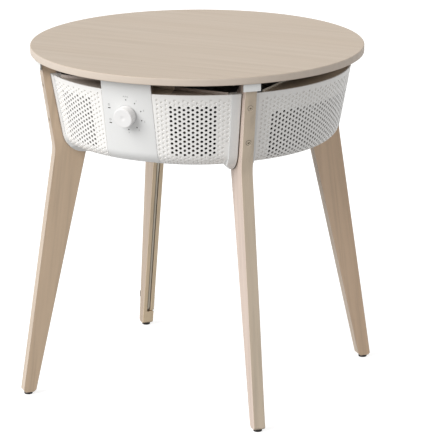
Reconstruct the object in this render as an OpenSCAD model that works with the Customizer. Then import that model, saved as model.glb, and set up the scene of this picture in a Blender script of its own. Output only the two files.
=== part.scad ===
// Round side table with an air purifier hung under its top on four board legs.
// Origin: on the floor at the table's axis. +Z is up, and the control panel faces -Y.

/* [Table top] */
// Height of the table top above the floor
table_h = 566; // [540:2:620]
// Diameter of the table top
top_d = 540; // [520:5:600]
// Thickness of the table top
top_t = 12; // [11:1:18]
// Rounding of the table top's edge
top_edge_r = 1.5; // [0.5:0.5:3]

/* [Housing] */
// Outer diameter of the housing at its rim
rim_d = 499; // [490:1:508]
// Height of the housing from its rim to its flat bottom
shell_h = 118.5; // [118:0.5:124]
// Lean of the housing's wall from the vertical, in degrees
shell_taper = 10.5; // [9.5:0.5:11]
// Rounding between the housing's wall and its bottom
shell_corner_r = 25; // [22:1:27]
// Wall thickness of the moulded shells and of the panel
shell_wall = 2.5; // [2:0.25:3]
// Air gap between the housing's rim and the table top
air_gap = 19; // [17:1:26]
// Seam between neighbouring housing pieces
seam = 0.4; // [0.3:0.1:0.8]
// Width of one air slot
slot_w = 3.8; // [3:0.2:4.4]
// Angle between neighbouring air slots
slot_step = 1.615; // [1.5:0.005:1.8]

/* [Control panel] */
// Width of the panel at the table top
panel_top_w = 87; // [84:1:92]
// Width of the panel at the housing's bottom
panel_bottom_w = 88; // [84:1:92]
// Depth of the knob's centre below the housing's rim
knob_drop = 37.4; // [36:1:42]
// Diameter of the knob
knob_d = 32; // [28:1:36]
// Length of the knob
knob_len = 14.5; // [12:0.5:17]
// Travel of the knob when it is pressed
knob_travel = 1.2; // [0.8:0.1:1.4]
// Radius of the ring of indicator lights round the knob
light_ring_r = 25; // [23:0.5:27]
// Diameter of an indicator light pipe
light_d = 1.6; // [1.2:0.1:2]
// Diameter of the encoder's shaft
encoder_shaft_d = 6; // [5:0.5:6]

/* [Legs] */
// Thickness of the leg boards
leg_t = 18.6; // [16:0.2:22]
// Radial width of a leg at its top end
leg_top_w = 13; // [11:0.2:15]
// Radial distance from the housing's side to the leg's knee
leg_knee_w = 18; // [14:0.5:20]
// Rounding of the knee
leg_knee_r = 60; // [30:5:90]
// Radius on which the outer edges of the feet stand
foot_reach = 304.3; // [290:0.1:312]
// Radial width of a leg at its foot
foot_w = 20.8; // [17:0.1:24]
// Chamfer of the foot's corners
foot_chamfer = 3.5; // [2:0.5:5]
// Diameter of the foot glides
glide_d = 14; // [10:1:15]
// Height of the foot glides under the board
glide_h = 4.5; // [3:0.5:6]
// Width and depth of the cord groove in the back left leg
groove_w = 6; // [5.6:0.2:7]

/* [Leg posts] */
// Width of the moulded posts that carry the legs and the table top
post_w = 36; // [34:1:40]
// Radial depth of a post behind the housing's wall
post_depth = 16; // [15:0.5:18]
// Depth of the saddle under the housing's bottom
saddle_drop = 13; // [12:0.5:15]
// Rounding of the saddle that the leg's cradle fits
saddle_r = 37.5; // [34:0.5:40]
// Extra width of the two front posts on the side of the panel
post_extra = 8; // [6:0.5:9]
// Height of the cap in front of a leg's top end
cap_h = 12.2; // [10:0.2:15]
// Width of the cap
cap_w = 28.4; // [24:0.2:32]
// Thickness of the cap
cap_t = 2.2; // [1.8:0.1:3]
// Width of the grooves on both sides of a leg
leg_groove_w = 1.8; // [1.2:0.1:2.4]

/* [Filter and fan] */
// Inner diameter of the filter chamber
chamber_d = 304; // [300:2:308]
// Height of the particle filter
filter_h = 36; // [30:1:38]
// Diameter of the fan impeller
impeller_d = 236; // [210:2:250]
// Height of the fan blades
blade_h = 37; // [33:1:38]
// Number of fan blades
blade_count = 11; // [7:1:13]
// Diameter of the impeller's inlet eye
eye_d = 168; // [156:2:180]
// Diameter of the motor's shaft
shaft_d = 5; // [4:0.5:6]

/* [Fasteners] */
// Diameter of the leg screws
leg_screw_d = 6; // [5:0.5:6]
// Diameter of a leg screw's countersunk head
leg_screw_head_d = 10; // [9:0.5:12]
// Depth of the upper leg screw below the leg's top end
leg_screw_1 = 28.5; // [22:0.5:30]
// Spacing of the two leg screws along the leg
leg_screw_gap = 57.5; // [50:0.5:62]
// Diameter of the small screws
small_screw_d = 3; // [2.5:0.25:3]
// Radial clearance of screws in their holes
screw_play = 0.05; // [0.03:0.01:0.08]

/* [Power lead] */
// Diameter of the power lead
lead_d = 4; // [3.6:0.1:4.4]
// Width of the tied hank of spare lead
hank_w = 17; // [16:0.5:18]
// Height of the hank
hank_h = 36; // [34:1:38]
// Length of the hank
hank_len = 92; // [88:1:100]

/* [Hidden] */
$fn = 96;
round_n = 8;          // steps in a rounded corner of an outline
play = 0.3;           // gap between separate pieces that only lie beside each other
through = 2;          // how far a cutter runs past the face that it opens

// Levels, from the table top down
under_z = table_h - top_t;
rim_z = under_z - air_gap;
bottom_z = rim_z - shell_h;
saddle_z = bottom_z - saddle_drop;
leg_top_z = under_z - cap_h;
floor_z = bottom_z + shell_wall;
deck_t = 3;
deck_z = rim_z - 6;
deck_top_z = deck_z + deck_t;

// Radii
rim_r = rim_d / 2;
wall_h = shell_wall / cos(shell_taper);
// The shells' flat flange ends inside the rim, then come the saddle's flat and its ramp
flange_depth = 51.5;
saddle_flat = 12;
saddle_ramp = 14;
lip_r = rim_r - flange_depth;
saddle_in_r = lip_r - saddle_flat;
ramp_r = saddle_in_r - saddle_ramp;
chamber_r = chamber_d / 2;
chamber_wall = 2.5;
// The posts' upper flange that the table top is screwed to
top_flange_depth = 44.5;
flange_in_r = rim_r - top_flange_depth;
flange_t = 6;
function cone_r(z) = rim_r - (rim_z - z) * tan(shell_taper);

LEG_FRONT_RIGHT = -45;
LEG_BACK_RIGHT = 45;
LEG_BACK_LEFT = 135;
LEG_FRONT_LEFT = 225;
LEG_ANGLES = [LEG_FRONT_RIGHT, LEG_BACK_RIGHT, LEG_BACK_LEFT, LEG_FRONT_LEFT];
PANEL_ANGLE = -90;

beige = [0.80, 0.74, 0.66];
white = [0.93, 0.93, 0.92];
dark = [0.18, 0.16, 0.15];
steel = [0.72, 0.70, 0.66];
copper = [0.72, 0.45, 0.25];
green = [0.12, 0.38, 0.22];

// ---------- Outlines ----------

function unit(v) = v / norm(v);

// The arc of radius r that rounds the corner b between a and c
function fillet(a, b, c, r) =
  let (u = unit(a - b), v = unit(c - b), h = acos(u * v) / 2,
       centre = b + unit(u + v) * r / sin(h),
       p = b + u * r / tan(h) - centre, q = b + v * r / tan(h) - centre,
       a0 = atan2(p.y, p.x), turn = (atan2(q.y, q.x) - a0 + 540) % 360 - 180)
  [for (i = [0:round_n]) centre + r * [cos(a0 + turn * i / round_n), sin(a0 + turn * i / round_n)]];

// Draws children, an outline in radius and height, as a board of thickness t in a leg's plane
module board(angle, t) {
  rotate([0, 0, angle]) rotate([90, 0, 0])
    linear_extrude(height = t, center = true) children();
}

function side_of(dir) = unit(abs(dir.z) > 0.9 ? cross(dir, [0, 1, 0]) : cross(dir, [0, 0, 1]));
function heading(path, i) = unit(path[min(i + 1, len(path) - 1)] - path[max(i - 1, 0)]);
// The section's side vector is carried from ring to ring, so that the tube doesn't twist
function frames(path, i = 0, side = undef, out = []) =
  i == len(path) ? out :
  let (dir = heading(path, i),
       s = i == 0 ? side_of(dir) : unit(side - (side * dir) * dir))
  frames(path, i + 1, s, concat(out, [[s, cross(dir, s)]]));
// Sweeps a round section of diameter d along the points
module tube(path, d, sides = 8) {
  f = frames(path);
  points = [for (i = [0:len(path) - 1], k = [0:sides - 1])
    path[i] + d / 2 * (cos(k * 360 / sides) * f[i][0] + sin(k * 360 / sides) * f[i][1])];
  rings = len(path);
  faces = concat([[for (k = [0:sides - 1]) k]],
    [for (i = [0:rings - 2], k = [0:sides - 1])
      [i * sides + k, (i + 1) * sides + k, (i + 1) * sides + (k + 1) % sides, i * sides + (k + 1) % sides]],
    [[for (k = [sides - 1:-1:0]) (rings - 1) * sides + k]]);
  polyhedron(points, faces, convexity = 8);
}

// ---------- Table top ----------

module table_top() color(beige) difference() {
  rotate_extrude() polygon(concat([[0, under_z], [0, table_h]],
    fillet([0, table_h], [top_d / 2, table_h], [top_d / 2, under_z], top_edge_r),
    fillet([top_d / 2, table_h], [top_d / 2, under_z], [0, under_z], top_edge_r * 2 / 3)));
  for (a = LEG_ANGLES) rotate([0, 0, a]) translate([top_screw_r, 0, under_z - through])
    cylinder(d = top_screw_d + 2 * screw_play, h = top_screw_bite + 1 + through);
}
top_screw_d = 4;
top_screw_r = flange_in_r + 9;
top_screw_bite = 8;

// ---------- Legs ----------

knee = [cone_r(saddle_z) + leg_knee_w, saddle_z + 6.5];
leg_top_out = [cone_r(leg_top_z) + leg_top_w, leg_top_z];
leg_step = 6;
head_z = under_z - flange_t;
tab_r = rim_r - 10.5;
leg_in_top = [saddle_in_r + leg_step, saddle_z];
foot_out = [foot_reach, glide_h];
foot_in = [foot_reach - foot_w, glide_h];
// Point at height z on the leg's inner edge
function leg_in_r(z) =
  foot_in.x + (z - foot_in.y) * (leg_in_top.x - foot_in.x) / (leg_in_top.y - foot_in.y);
// Cuts the corner b of an outline back by c along both sides
function chamfer(a, b, d, c) = [b + unit(a - b) * c, b + unit(d - b) * c];

// The top end reaches over the post's lower part and carries the post's flange
module leg_outline() polygon(concat(
  [[rim_r, rim_z], [tab_r, rim_z], [tab_r, head_z], [leg_top_out.x, head_z], leg_top_out],
  fillet(leg_top_out, knee, foot_out, leg_knee_r),
  chamfer(knee, foot_out, foot_in, foot_chamfer),
  chamfer(foot_out, foot_in, leg_in_top, foot_chamfer),
  [leg_in_top],
  fillet(leg_in_top, [cone_r(saddle_z), saddle_z], [rim_r, rim_z], saddle_r)));

foot_r = foot_reach - foot_w / 2;
glide_pin_d = 4;
glide_pin_h = 12;

// Angle of the leg's upper outer edge from the vertical
leg_lean = atan2(leg_top_out.x - knee.x, leg_top_out.y - knee.y);
// Moves to the outer end of a leg screw's axis, with +Z pointing out of the leg
module at_leg_screw(angle, n) {
  down = (leg_screw_1 + n * leg_screw_gap) * cos(leg_lean);
  rotate([0, 0, angle])
    translate([leg_top_out.x - down * tan(leg_lean), 0, leg_top_z - down])
      rotate([0, 90 + leg_lean, 0]) children();
}
leg_screw_len = 26;
leg_head_h = 3;
module leg_screw(play_r = 0) {
  translate([0, 0, -leg_screw_len]) cylinder(r = leg_screw_d / 2 + play_r, h = leg_screw_len - leg_head_h);
  translate([0, 0, -leg_head_h])
    cylinder(r1 = leg_screw_d / 2 + play_r, r2 = leg_screw_head_d / 2 + play_r, h = leg_head_h);
}

module leg(angle) difference() {
  board(angle, leg_t) leg_outline();
  for (n = [0, 1]) at_leg_screw(angle, n) {
    leg_screw(screw_play);
    cylinder(r = leg_screw_head_d / 2 + screw_play, h = through);
  }
  rotate([0, 0, angle]) translate([foot_r, 0, glide_h - through])
    cylinder(d = glide_pin_d + 2 * screw_play, h = glide_pin_h + 1 + through);
}

// The lead runs down the groove and leaves through a hole to the leg's outer edge
lead_exit_z = 30;
groove_end_z = lead_exit_z - groove_w / 2;
groove_run = 38;
module cord_groove(angle) {
  board(angle, groove_w) polygon([
    [leg_in_r(saddle_z + through) - through, saddle_z + through],
    [leg_in_r(groove_end_z) - through, groove_end_z],
    [leg_in_r(groove_end_z) + groove_w + 6, groove_end_z],
    [leg_in_r(groove_end_z + 10) + groove_w + 6, groove_end_z + 6],
    [leg_in_r(groove_end_z + groove_run) + groove_w, groove_end_z + groove_run],
    [leg_in_r(saddle_z + through) + groove_w, saddle_z + through]]);
  rotate([0, 0, angle]) translate([leg_in_r(lead_exit_z), 0, lead_exit_z])
    rotate([0, 90, 0]) cylinder(d = groove_w, h = foot_w + 10);
  // The notch beside the groove's end
  rotate([0, 0, angle]) translate([leg_in_r(groove_end_z) - through, -leg_t, groove_end_z])
    cube([groove_w + through, leg_t, groove_w / 2]);
}

module leg_front_right() color(beige) leg(LEG_FRONT_RIGHT);
module leg_back_right() color(beige) leg(LEG_BACK_RIGHT);
module leg_front_left() color(beige) leg(LEG_FRONT_LEFT);
module leg_back_left() color(beige) difference() {
  leg(LEG_BACK_LEFT);
  cord_groove(LEG_BACK_LEFT);
}

module leg_screws() color(steel)
  for (a = LEG_ANGLES, n = [0, 1]) at_leg_screw(a, n) difference() {
    leg_screw();
    translate([0, 0, -leg_head_h + 0.6]) cylinder(d = leg_screw_d * 0.67, h = leg_head_h, $fn = 6);
  }

module foot_glides() color(dark)
  for (a = LEG_ANGLES) rotate([0, 0, a]) translate([foot_r, 0, 0]) {
    cylinder(d = glide_d, h = glide_h);
    cylinder(d = glide_pin_d, h = glide_h + glide_pin_h);
  }

// ---------- Posts ----------

module post_outline() polygon(concat(
  [[rim_r, rim_z]],
  fillet([rim_r, rim_z], [cone_r(saddle_z), saddle_z], [saddle_in_r, saddle_z], saddle_r),
  [[saddle_in_r, saddle_z], [ramp_r, bottom_z], [lip_r, bottom_z], [lip_r, floor_z],
   [cone_r(floor_z) - post_depth, floor_z], [rim_r - post_depth, rim_z]]));

// Above the rim: a narrower column, the flange and the cap in front of the leg
head_lap = 5;
cap_gap = 1;
cap_in_r = leg_top_out.x + cap_gap;
module head_outline() polygon([
  [flange_in_r, under_z], [cap_in_r + cap_t, under_z], [cap_in_r + cap_t, leg_top_z],
  [cap_in_r, leg_top_z], [cap_in_r, head_z], [tab_r, head_z], [tab_r, rim_z - head_lap],
  [cone_r(rim_z - head_lap) - post_depth, rim_z - head_lap],
  [cone_r(head_z) - post_depth, head_z], [flange_in_r, head_z]]);

// Half the width of a post on its side toward (+1) or away from (-1) growing angles
function post_half(angle, side) = post_w / 2
  + ((angle == LEG_FRONT_RIGHT && side < 0) || (angle == LEG_FRONT_LEFT && side > 0) ? post_extra : 0);
// The room of a post: a box grown by gap on both sides, from the radius r and the height z
module post_box(angle, gap, r, z, depth, height)
  rotate([0, 0, angle]) translate([r, -post_half(angle, -1) - gap, z])
    cube([depth, post_half(angle, -1) + post_half(angle, 1) + 2 * gap, height]);

// The saddle's sides slope in toward the leg below the housing's bottom
saddle_half = 13.5;
module saddle_slopes(angle)
  for (side = [-1, 1]) rotate([0, 0, angle]) rotate([90, 0, 90]) linear_extrude(height = rim_r)
    polygon([
      [side * (post_half(angle, side) + 1), bottom_z], [side * post_half(angle, side), bottom_z],
      [side * saddle_half, saddle_z], [side * saddle_half, saddle_z - through],
      [side * (post_half(angle, side) + 1), saddle_z - through]]);

leg_groove_depth = 2.5;
// The post's face in the leg's plane, moved in by d, from the rim round the cradle to the saddle's end
function cradle_line(d) =
  let (top = [cone_r(rim_z + 1) - d, rim_z + 1], low = saddle_z + d)
  concat([top], fillet(top, [cone_r(low) - d, low], [saddle_in_r, low], saddle_r - d),
    [[saddle_in_r, low]]);
function turned_back(list) = [for (i = [len(list) - 1:-1:0]) list[i]];
// A groove on both sides of the leg follows its cradle
module leg_grooves(angle)
  for (side = [-1, 1]) rotate([0, 0, angle]) translate([0, side * (leg_t + leg_groove_w) / 2, 0])
    rotate([90, 0, 0]) linear_extrude(height = leg_groove_w, center = true)
      polygon(concat(cradle_line(-1), turned_back(cradle_line(leg_groove_depth))));

module post(angle) difference() {
  union() {
    intersection() {
      board(angle, 2 * (post_w + post_extra)) post_outline();
      post_box(angle, 0, 0, 0, top_d, table_h);
    }
    board(angle, cap_w) head_outline();
  }
  saddle_slopes(angle);
  leg_grooves(angle);
  for (n = [0, 1]) at_leg_screw(angle, n) leg_screw(screw_play);
  rotate([0, 0, angle]) translate([top_screw_r, 0, under_z - flange_t - through])
    cylinder(d = top_screw_d + 2 * screw_play, h = flange_t + 2 * through);
  rotate([0, 0, angle]) translate([pan_screw_r, 0, bottom_z - pan_screw_bite])
    cylinder(d = small_screw_d + 2 * screw_play, h = pan_screw_bite + through);
}
pan_screw_r = (saddle_in_r + lip_r) / 2;
pan_screw_bite = 8;

module post_front_right() color(white) post(LEG_FRONT_RIGHT);
module post_back_right() color(white) post(LEG_BACK_RIGHT);
module post_front_left() color(white) post(LEG_FRONT_LEFT);
module post_back_left() color(white) post(LEG_BACK_LEFT);

module top_screws() color(steel)
  for (a = LEG_ANGLES) rotate([0, 0, a]) translate([top_screw_r, 0, under_z - flange_t]) {
    cylinder(d = top_screw_d, h = flange_t + top_screw_bite);
    translate([0, 0, -2.4]) cylinder(d = 2 * top_screw_d, h = 2.4);
  }

// ---------- Housing shells ----------

module shell_outline(top_z) polygon(concat(
  [[cone_r(top_z), top_z]],
  fillet([cone_r(top_z), top_z], [cone_r(bottom_z), bottom_z], [lip_r, bottom_z], shell_corner_r),
  [[lip_r, bottom_z], [lip_r, floor_z]],
  fillet([lip_r, floor_z], [cone_r(floor_z) - wall_h, floor_z], [cone_r(top_z) - wall_h, top_z],
    shell_corner_r - shell_wall),
  [[cone_r(top_z) - wall_h, top_z]]));

// The part of the housing's wall between two angles, up to the height top_z
module shell(from, to, top_z = rim_z)
  rotate([0, 0, from]) rotate_extrude(angle = to - from) shell_outline(top_z);

// The panel's trapezoid, seen from the front and widened by grow on each side
module panel_wedge(grow = 0)
  translate([0, -lip_r + 20, 0]) rotate([90, 0, 0]) linear_extrude(height = rim_r)
    polygon([
      [-panel_bottom_w / 2 - grow, bottom_z - through], [panel_bottom_w / 2 + grow, bottom_z - through],
      [panel_top_w / 2 + grow, under_z + through], [-panel_top_w / 2 - grow, under_z + through]]);

// Room for the posts in the housing
module post_room()
  for (a = LEG_ANGLES) post_box(a, seam, lip_r - 10, saddle_z, rim_r, under_z - saddle_z + through);

// Air slots number first to last on both sides of the angle mid
slot_top_drop = 34.5;
slot_front_top_drop = 18.5;
slot_bottom_drop = 104;
slot_front_bottom_drop = 97;
slot_shift = -0.52;
slot_front_shift = 0.74;
module air_slots(mid, first, last, top_drop, bottom_drop)
  for (k = [first:last]) rotate([0, 0, mid + k * slot_step])
    translate([cone_r(bottom_z) - shell_corner_r, -slot_w / 2, rim_z - bottom_drop])
      cube([4 * shell_corner_r, slot_w, bottom_drop - top_drop]);

module side_grille(mid) difference() {
  shell(mid - 45, mid + 45);
  post_room();
  air_slots(mid + slot_shift, -21, 21, slot_top_drop, slot_bottom_drop);
}
module front_grille(from, to, shift, first, last) difference() {
  shell(from, to);
  post_room();
  panel_wedge(seam);
  air_slots(PANEL_ANGLE + shift, first, last, slot_front_top_drop, slot_front_bottom_drop);
}
module grille_right() color(white) side_grille(0);
module grille_back() color(white) side_grille(90);
module grille_left() color(white) side_grille(180);
module grille_front_right() color(white)
  front_grille(PANEL_ANGLE + 2, PANEL_ANGLE + 45, slot_front_shift, 10, 20);
module grille_front_left() color(white)
  front_grille(PANEL_ANGLE - 45, PANEL_ANGLE - 2, -slot_front_shift, -20, -10);

// ---------- Control panel ----------

knob_z = rim_z - knob_drop;
knob_r0 = cone_r(knob_z);
// Local frame of the panel: +Z points out along the knob's axis, +Y up the slope
module at_panel() translate([0, -knob_r0, knob_z]) rotate([90 + shell_taper, 0, 0]) children();
// How far the curved panel lies behind its middle line at the distance x
function fall(x) = knob_r0 - sqrt(knob_r0 * knob_r0 - x * x);

shaft_hole_r = encoder_shaft_d / 2 + 1.6;
board_back = -13.6;
board_t = 1.6;
board_front = board_back + board_t;
board_w = 76;
// The board ends below the deck at its top, and reaches as far under the knob
board_top = (deck_z - play - knob_z + sin(shell_taper) * board_back) / cos(shell_taper) - 0.5;
board_bottom = -31;
board_screw_inset = 5;
board_screw_x = board_w / 2 - board_screw_inset;
// Places of the lights: the ring of dial marks, then the two status lights at the left
LIGHTS = concat(
  [for (i = [0:5]) light_ring_r * [sin(36 * i), cos(36 * i)]],
  [[-32, 8], [-32, -17]]);

board_screw_ys = [board_bottom + board_screw_inset, board_top - board_screw_inset];
module board_screw_places()
  for (x = [-board_screw_x, board_screw_x], y = board_screw_ys) translate([x, y, 0]) children();

module control_panel() color(white) difference() {
  union() {
    intersection() {
      shell(PANEL_ANGLE - 20, PANEL_ANGLE + 20, under_z - play);
      panel_wedge();
    }
    at_panel() board_screw_places()
      translate([0, 0, board_front]) cylinder(d = 7, h = -board_front - fall(board_screw_x) - 1);
  }
  at_panel() {
    translate([0, 0, -10]) cylinder(r = shaft_hole_r, h = 20);
    for (p = LIGHTS) translate([p.x, p.y, -8]) cylinder(d = light_d + 2 * screw_play, h = 10);
    board_screw_places() translate([0, 0, board_front - through])
      cylinder(d = small_screw_d + 2 * screw_play, h = 7 + through);
  }
}

module light_pipes() color("lightgrey") at_panel()
  for (p = LIGHTS) translate([p.x, p.y, board_front])
    cylinder(d = light_d, h = -board_front - fall(p.x));

module control_board() color(green) at_panel() difference() {
  translate([-board_w / 2, board_bottom, board_back]) cube([board_w, board_top - board_bottom, board_t]);
  board_screw_places() translate([0, 0, board_back - through])
    cylinder(d = small_screw_d + 2 * screw_play, h = board_t + 2 * through);
}

module board_screws() color(steel) at_panel() board_screw_places() {
  translate([0, 0, board_back]) cylinder(d = small_screw_d, h = 6);
  translate([0, 0, board_back - 2]) cylinder(d = 2 * small_screw_d, h = 2);
}

encoder_w = 14;
encoder_top = -3.9;
shaft_bottom = board_front + 3.5;
plunger_bottom = board_front + 0.2 + knob_travel;
shaft_play = 0.05;
module encoder_body() color(steel) at_panel() difference() {
  union() {
    translate([-encoder_w / 2, -encoder_w / 2, board_front])
      cube([encoder_w, encoder_w, encoder_top - board_front]);
    translate([0, 0, encoder_top]) cylinder(r = shaft_hole_r - 0.3, h = -encoder_top - 0.5);
  }
  translate([0, 0, board_front + 0.1]) cylinder(d = encoder_shaft_d + 2 * shaft_play, h = 20);
}
module push_plunger() color(dark) at_panel()
  translate([0, 0, plunger_bottom]) cylinder(d = encoder_shaft_d - 1, h = shaft_bottom - plunger_bottom);

knob_back = knob_travel + 0.4;
knob_shaft_depth = 9;
shaft_top = knob_back + knob_shaft_depth;
module encoder_shaft() color(steel) at_panel()
  translate([0, 0, shaft_bottom]) cylinder(d = encoder_shaft_d, h = shaft_top - shaft_bottom);

knob_edge_r = 1.2;
module control_knob() color(white) at_panel() difference() {
  rotate_extrude() polygon(concat(
    [[0, knob_back], [knob_d / 2 - 0.4, knob_back]],
    fillet([knob_d / 2 - 0.4, knob_back], [knob_d / 2, knob_back + knob_len], [0, knob_back + knob_len],
      knob_edge_r),
    [[4, knob_back + knob_len], [0, knob_back + knob_len - 0.8]]));
  translate([0, 0, knob_back - through]) cylinder(d = encoder_shaft_d, h = knob_shaft_depth + through);
}

// ---------- Base pan and deck ----------

chamber_top_z = floor_z + 45;
pillar_d = 10;
// The pillars stand inside the ring of screws that hold the pan to the posts
pillar_gap = 16;
pillar_r = pan_screw_r - pillar_gap;
deck_screw_bite = 10;
button_d = 8;
button_r = 182;
button_proud = 1.2;
button_play = 0.3;
button_flange = 1.5;
button_z = bottom_z - button_proud;
standoff_d = 6;
standoff_h = 5;
power_y = 177;
power_w = 88;
power_depth = 34;
module power_standoffs(d, h)
  for (x = [-power_w / 2 + 5, power_w / 2 - 5], y = [-power_depth / 2 + 5, power_depth / 2 - 5])
    translate([x, power_y + y, floor_z]) cylinder(d = d, h = h);

module base_pan() color(white) difference() {
  union() {
    translate([0, 0, bottom_z]) cylinder(r = lip_r - play, h = shell_wall);
    translate([0, 0, bottom_z]) cylinder(r = chamber_r + chamber_wall, h = chamber_top_z - bottom_z);
    for (a = LEG_ANGLES) rotate([0, 0, a]) translate([pillar_r, 0, bottom_z])
      cylinder(d = pillar_d, h = deck_z - bottom_z);
    power_standoffs(standoff_d, standoff_h);
  }
  translate([0, 0, bottom_z - through]) cylinder(r = chamber_r, h = chamber_top_z - bottom_z + 2 * through);
  for (a = LEG_ANGLES) rotate([0, 0, a]) translate([pillar_r, 0, deck_z - deck_screw_bite])
    cylinder(d = small_screw_d + 2 * screw_play, h = deck_screw_bite + through);
  for (a = LEG_ANGLES) rotate([0, 0, a]) translate([pan_screw_r, 0, bottom_z - through])
    cylinder(d = small_screw_d + 2 * screw_play, h = shell_wall + 2 * through);
  translate([0, -button_r, bottom_z - through])
    cylinder(r = button_d / 2 + button_play, h = shell_wall + 2 * through);
}

rib_at = 187;
rib_h = 4;
rib_half = 147;
deck_r = cone_r(deck_z) - wall_h - play;
module top_deck() color(dark) difference() {
  union() {
    translate([0, 0, deck_z]) cylinder(r = deck_r, h = deck_t);
    for (a = [0:90:270]) rotate([0, 0, a]) translate([rib_at - 1, -rib_half, deck_z])
      cube([2, 2 * rib_half, deck_t + rib_h]);
  }
  for (a = LEG_ANGLES) {
    post_box(a, seam, cone_r(deck_z) - post_depth - seam, deck_z - through, rim_r, deck_t + 2 * through);
    rotate([0, 0, a]) translate([pillar_r, 0, deck_z - through])
      cylinder(d = small_screw_d + 2 * screw_play, h = deck_t + 2 * through);
  }
  motor_screw_places() translate([0, 0, deck_z - through])
    cylinder(d = small_screw_d + 2 * screw_play, h = deck_t - 0.6 + through);
  translate([0, 0, deck_z - through]) cylinder(d = shaft_d + 6, h = deck_t - 0.6 + through);
}

module deck_screws() color(steel) {
  for (a = LEG_ANGLES) rotate([0, 0, a]) translate([pillar_r, 0, deck_top_z]) {
    translate([0, 0, -deck_t - deck_screw_bite + 1])
      cylinder(d = small_screw_d, h = deck_t + deck_screw_bite - 1);
    cylinder(d = 2 * small_screw_d, h = 2);
  }
  for (a = LEG_ANGLES) rotate([0, 0, a]) translate([pan_screw_r, 0, floor_z]) {
    translate([0, 0, -shell_wall - pan_screw_bite + 1])
      cylinder(d = small_screw_d, h = shell_wall + pan_screw_bite - 1);
    cylinder(d = 2 * small_screw_d, h = 2);
  }
}

// ---------- Fan ----------

bracket_t = 6;
bracket_z = deck_z - bracket_t;
bracket_r = 48;
motor_screw_r = 41;
bearing_od = shaft_d + 6;
bearing_h = 4;
bearing_tube_r = bearing_od / 2 + 2.5;
cup_bottom_z = bracket_z - 34;
cup_wall = 2.5;
bearing_tube_z = cup_bottom_z + cup_wall + 2;
cup_r = 33.5;
stator_r = 28.4;
hub_play = 0.2;
hub_wall = 2.5;
hub_bottom_z = cup_bottom_z - 2.6;
impeller_top_z = bracket_z - 10;
plate_t = 2.5;
blade_z = impeller_top_z - plate_t - blade_h;

module motor_screw_places()
  for (a = [90, 210, 330]) rotate([0, 0, a]) translate([motor_screw_r, 0, 0]) children();

module motor_bracket() color(steel) difference() {
  union() {
    translate([0, 0, bracket_z]) cylinder(r = bracket_r, h = bracket_t);
    translate([0, 0, bearing_tube_z]) cylinder(r = bearing_tube_r, h = bracket_z + 1 - bearing_tube_z);
  }
  translate([0, 0, cup_bottom_z]) cylinder(d = bearing_od, h = deck_z - cup_bottom_z + through);
  motor_screw_places() translate([0, 0, bracket_z - through])
    cylinder(d = small_screw_d + 2 * screw_play, h = bracket_t + 2 * through);
}
module motor_screws() color(steel) motor_screw_places() {
  translate([0, 0, bracket_z]) cylinder(d = small_screw_d, h = bracket_t + deck_t - 1);
  translate([0, 0, bracket_z - 2]) cylinder(d = 2 * small_screw_d, h = 2);
}

stator_h = 17;
stator_z = cup_bottom_z + cup_wall + 6;
module motor_stator() color(copper) difference() {
  translate([0, 0, stator_z]) cylinder(r = stator_r, h = stator_h);
  translate([0, 0, stator_z - through]) cylinder(r = bearing_tube_r, h = stator_h + 2 * through);
  for (a = [0:40:320]) rotate([0, 0, a]) translate([bearing_tube_r + 4, -1.5, stator_z - through])
    cube([stator_r, 3, stator_h + 2 * through]);
}

module bearing(z) difference() {
  translate([0, 0, z]) cylinder(d = bearing_od, h = bearing_h);
  translate([0, 0, z - through]) cylinder(d = shaft_d + 2 * shaft_play, h = bearing_h + 2 * through);
}
lower_bearing_z = cup_bottom_z + cup_wall + 3;
upper_bearing_z = bracket_z;
module lower_bearing() color(steel) bearing(lower_bearing_z);
module upper_bearing() color(steel) bearing(upper_bearing_z);

cup_h = cup_wall + 26;
module rotor_cup() color(steel) difference() {
  translate([0, 0, cup_bottom_z]) cylinder(r = cup_r, h = cup_h);
  translate([0, 0, cup_bottom_z + cup_wall]) cylinder(r = cup_r - cup_wall, h = cup_h);
  translate([0, 0, cup_bottom_z - through]) cylinder(d = shaft_d, h = cup_wall + 2 * through);
}
module magnet_ring() color(dark) difference() {
  translate([0, 0, stator_z]) cylinder(r = cup_r - cup_wall, h = stator_h);
  translate([0, 0, stator_z - through]) cylinder(r = stator_r + 0.6, h = stator_h + 2 * through);
}
nut_h = 5;
module fan_shaft() color(steel)
  translate([0, 0, hub_bottom_z - nut_h - 1]) cylinder(d = shaft_d, h = deck_z - hub_bottom_z + nut_h);
module fan_nut() color(steel) difference() {
  translate([0, 0, hub_bottom_z - nut_h]) cylinder(r = shaft_d, h = nut_h, $fn = 6);
  translate([0, 0, hub_bottom_z - nut_h - through]) cylinder(d = shaft_d, h = nut_h + 2 * through);
}

// One backward-curved blade, an arc from the eye to the rim
blade_in_r = eye_d / 2 - 14;
blade_t = 1.8;
blade_sweep = 32;
blade_n = 8;
function blade_point(u, off) =
  let (r = blade_in_r + (impeller_d / 2 - 1 - blade_in_r) * u, a = -blade_sweep * u * (2 - u))
  [r * cos(a) - off * sin(a), r * sin(a) + off * cos(a)];
module blade() linear_extrude(height = blade_h + 2)
  polygon(concat(
    [for (i = [0:blade_n]) blade_point(i / blade_n, 0)],
    [for (i = [blade_n:-1:0]) blade_point(i / blade_n, blade_t)]));

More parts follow.
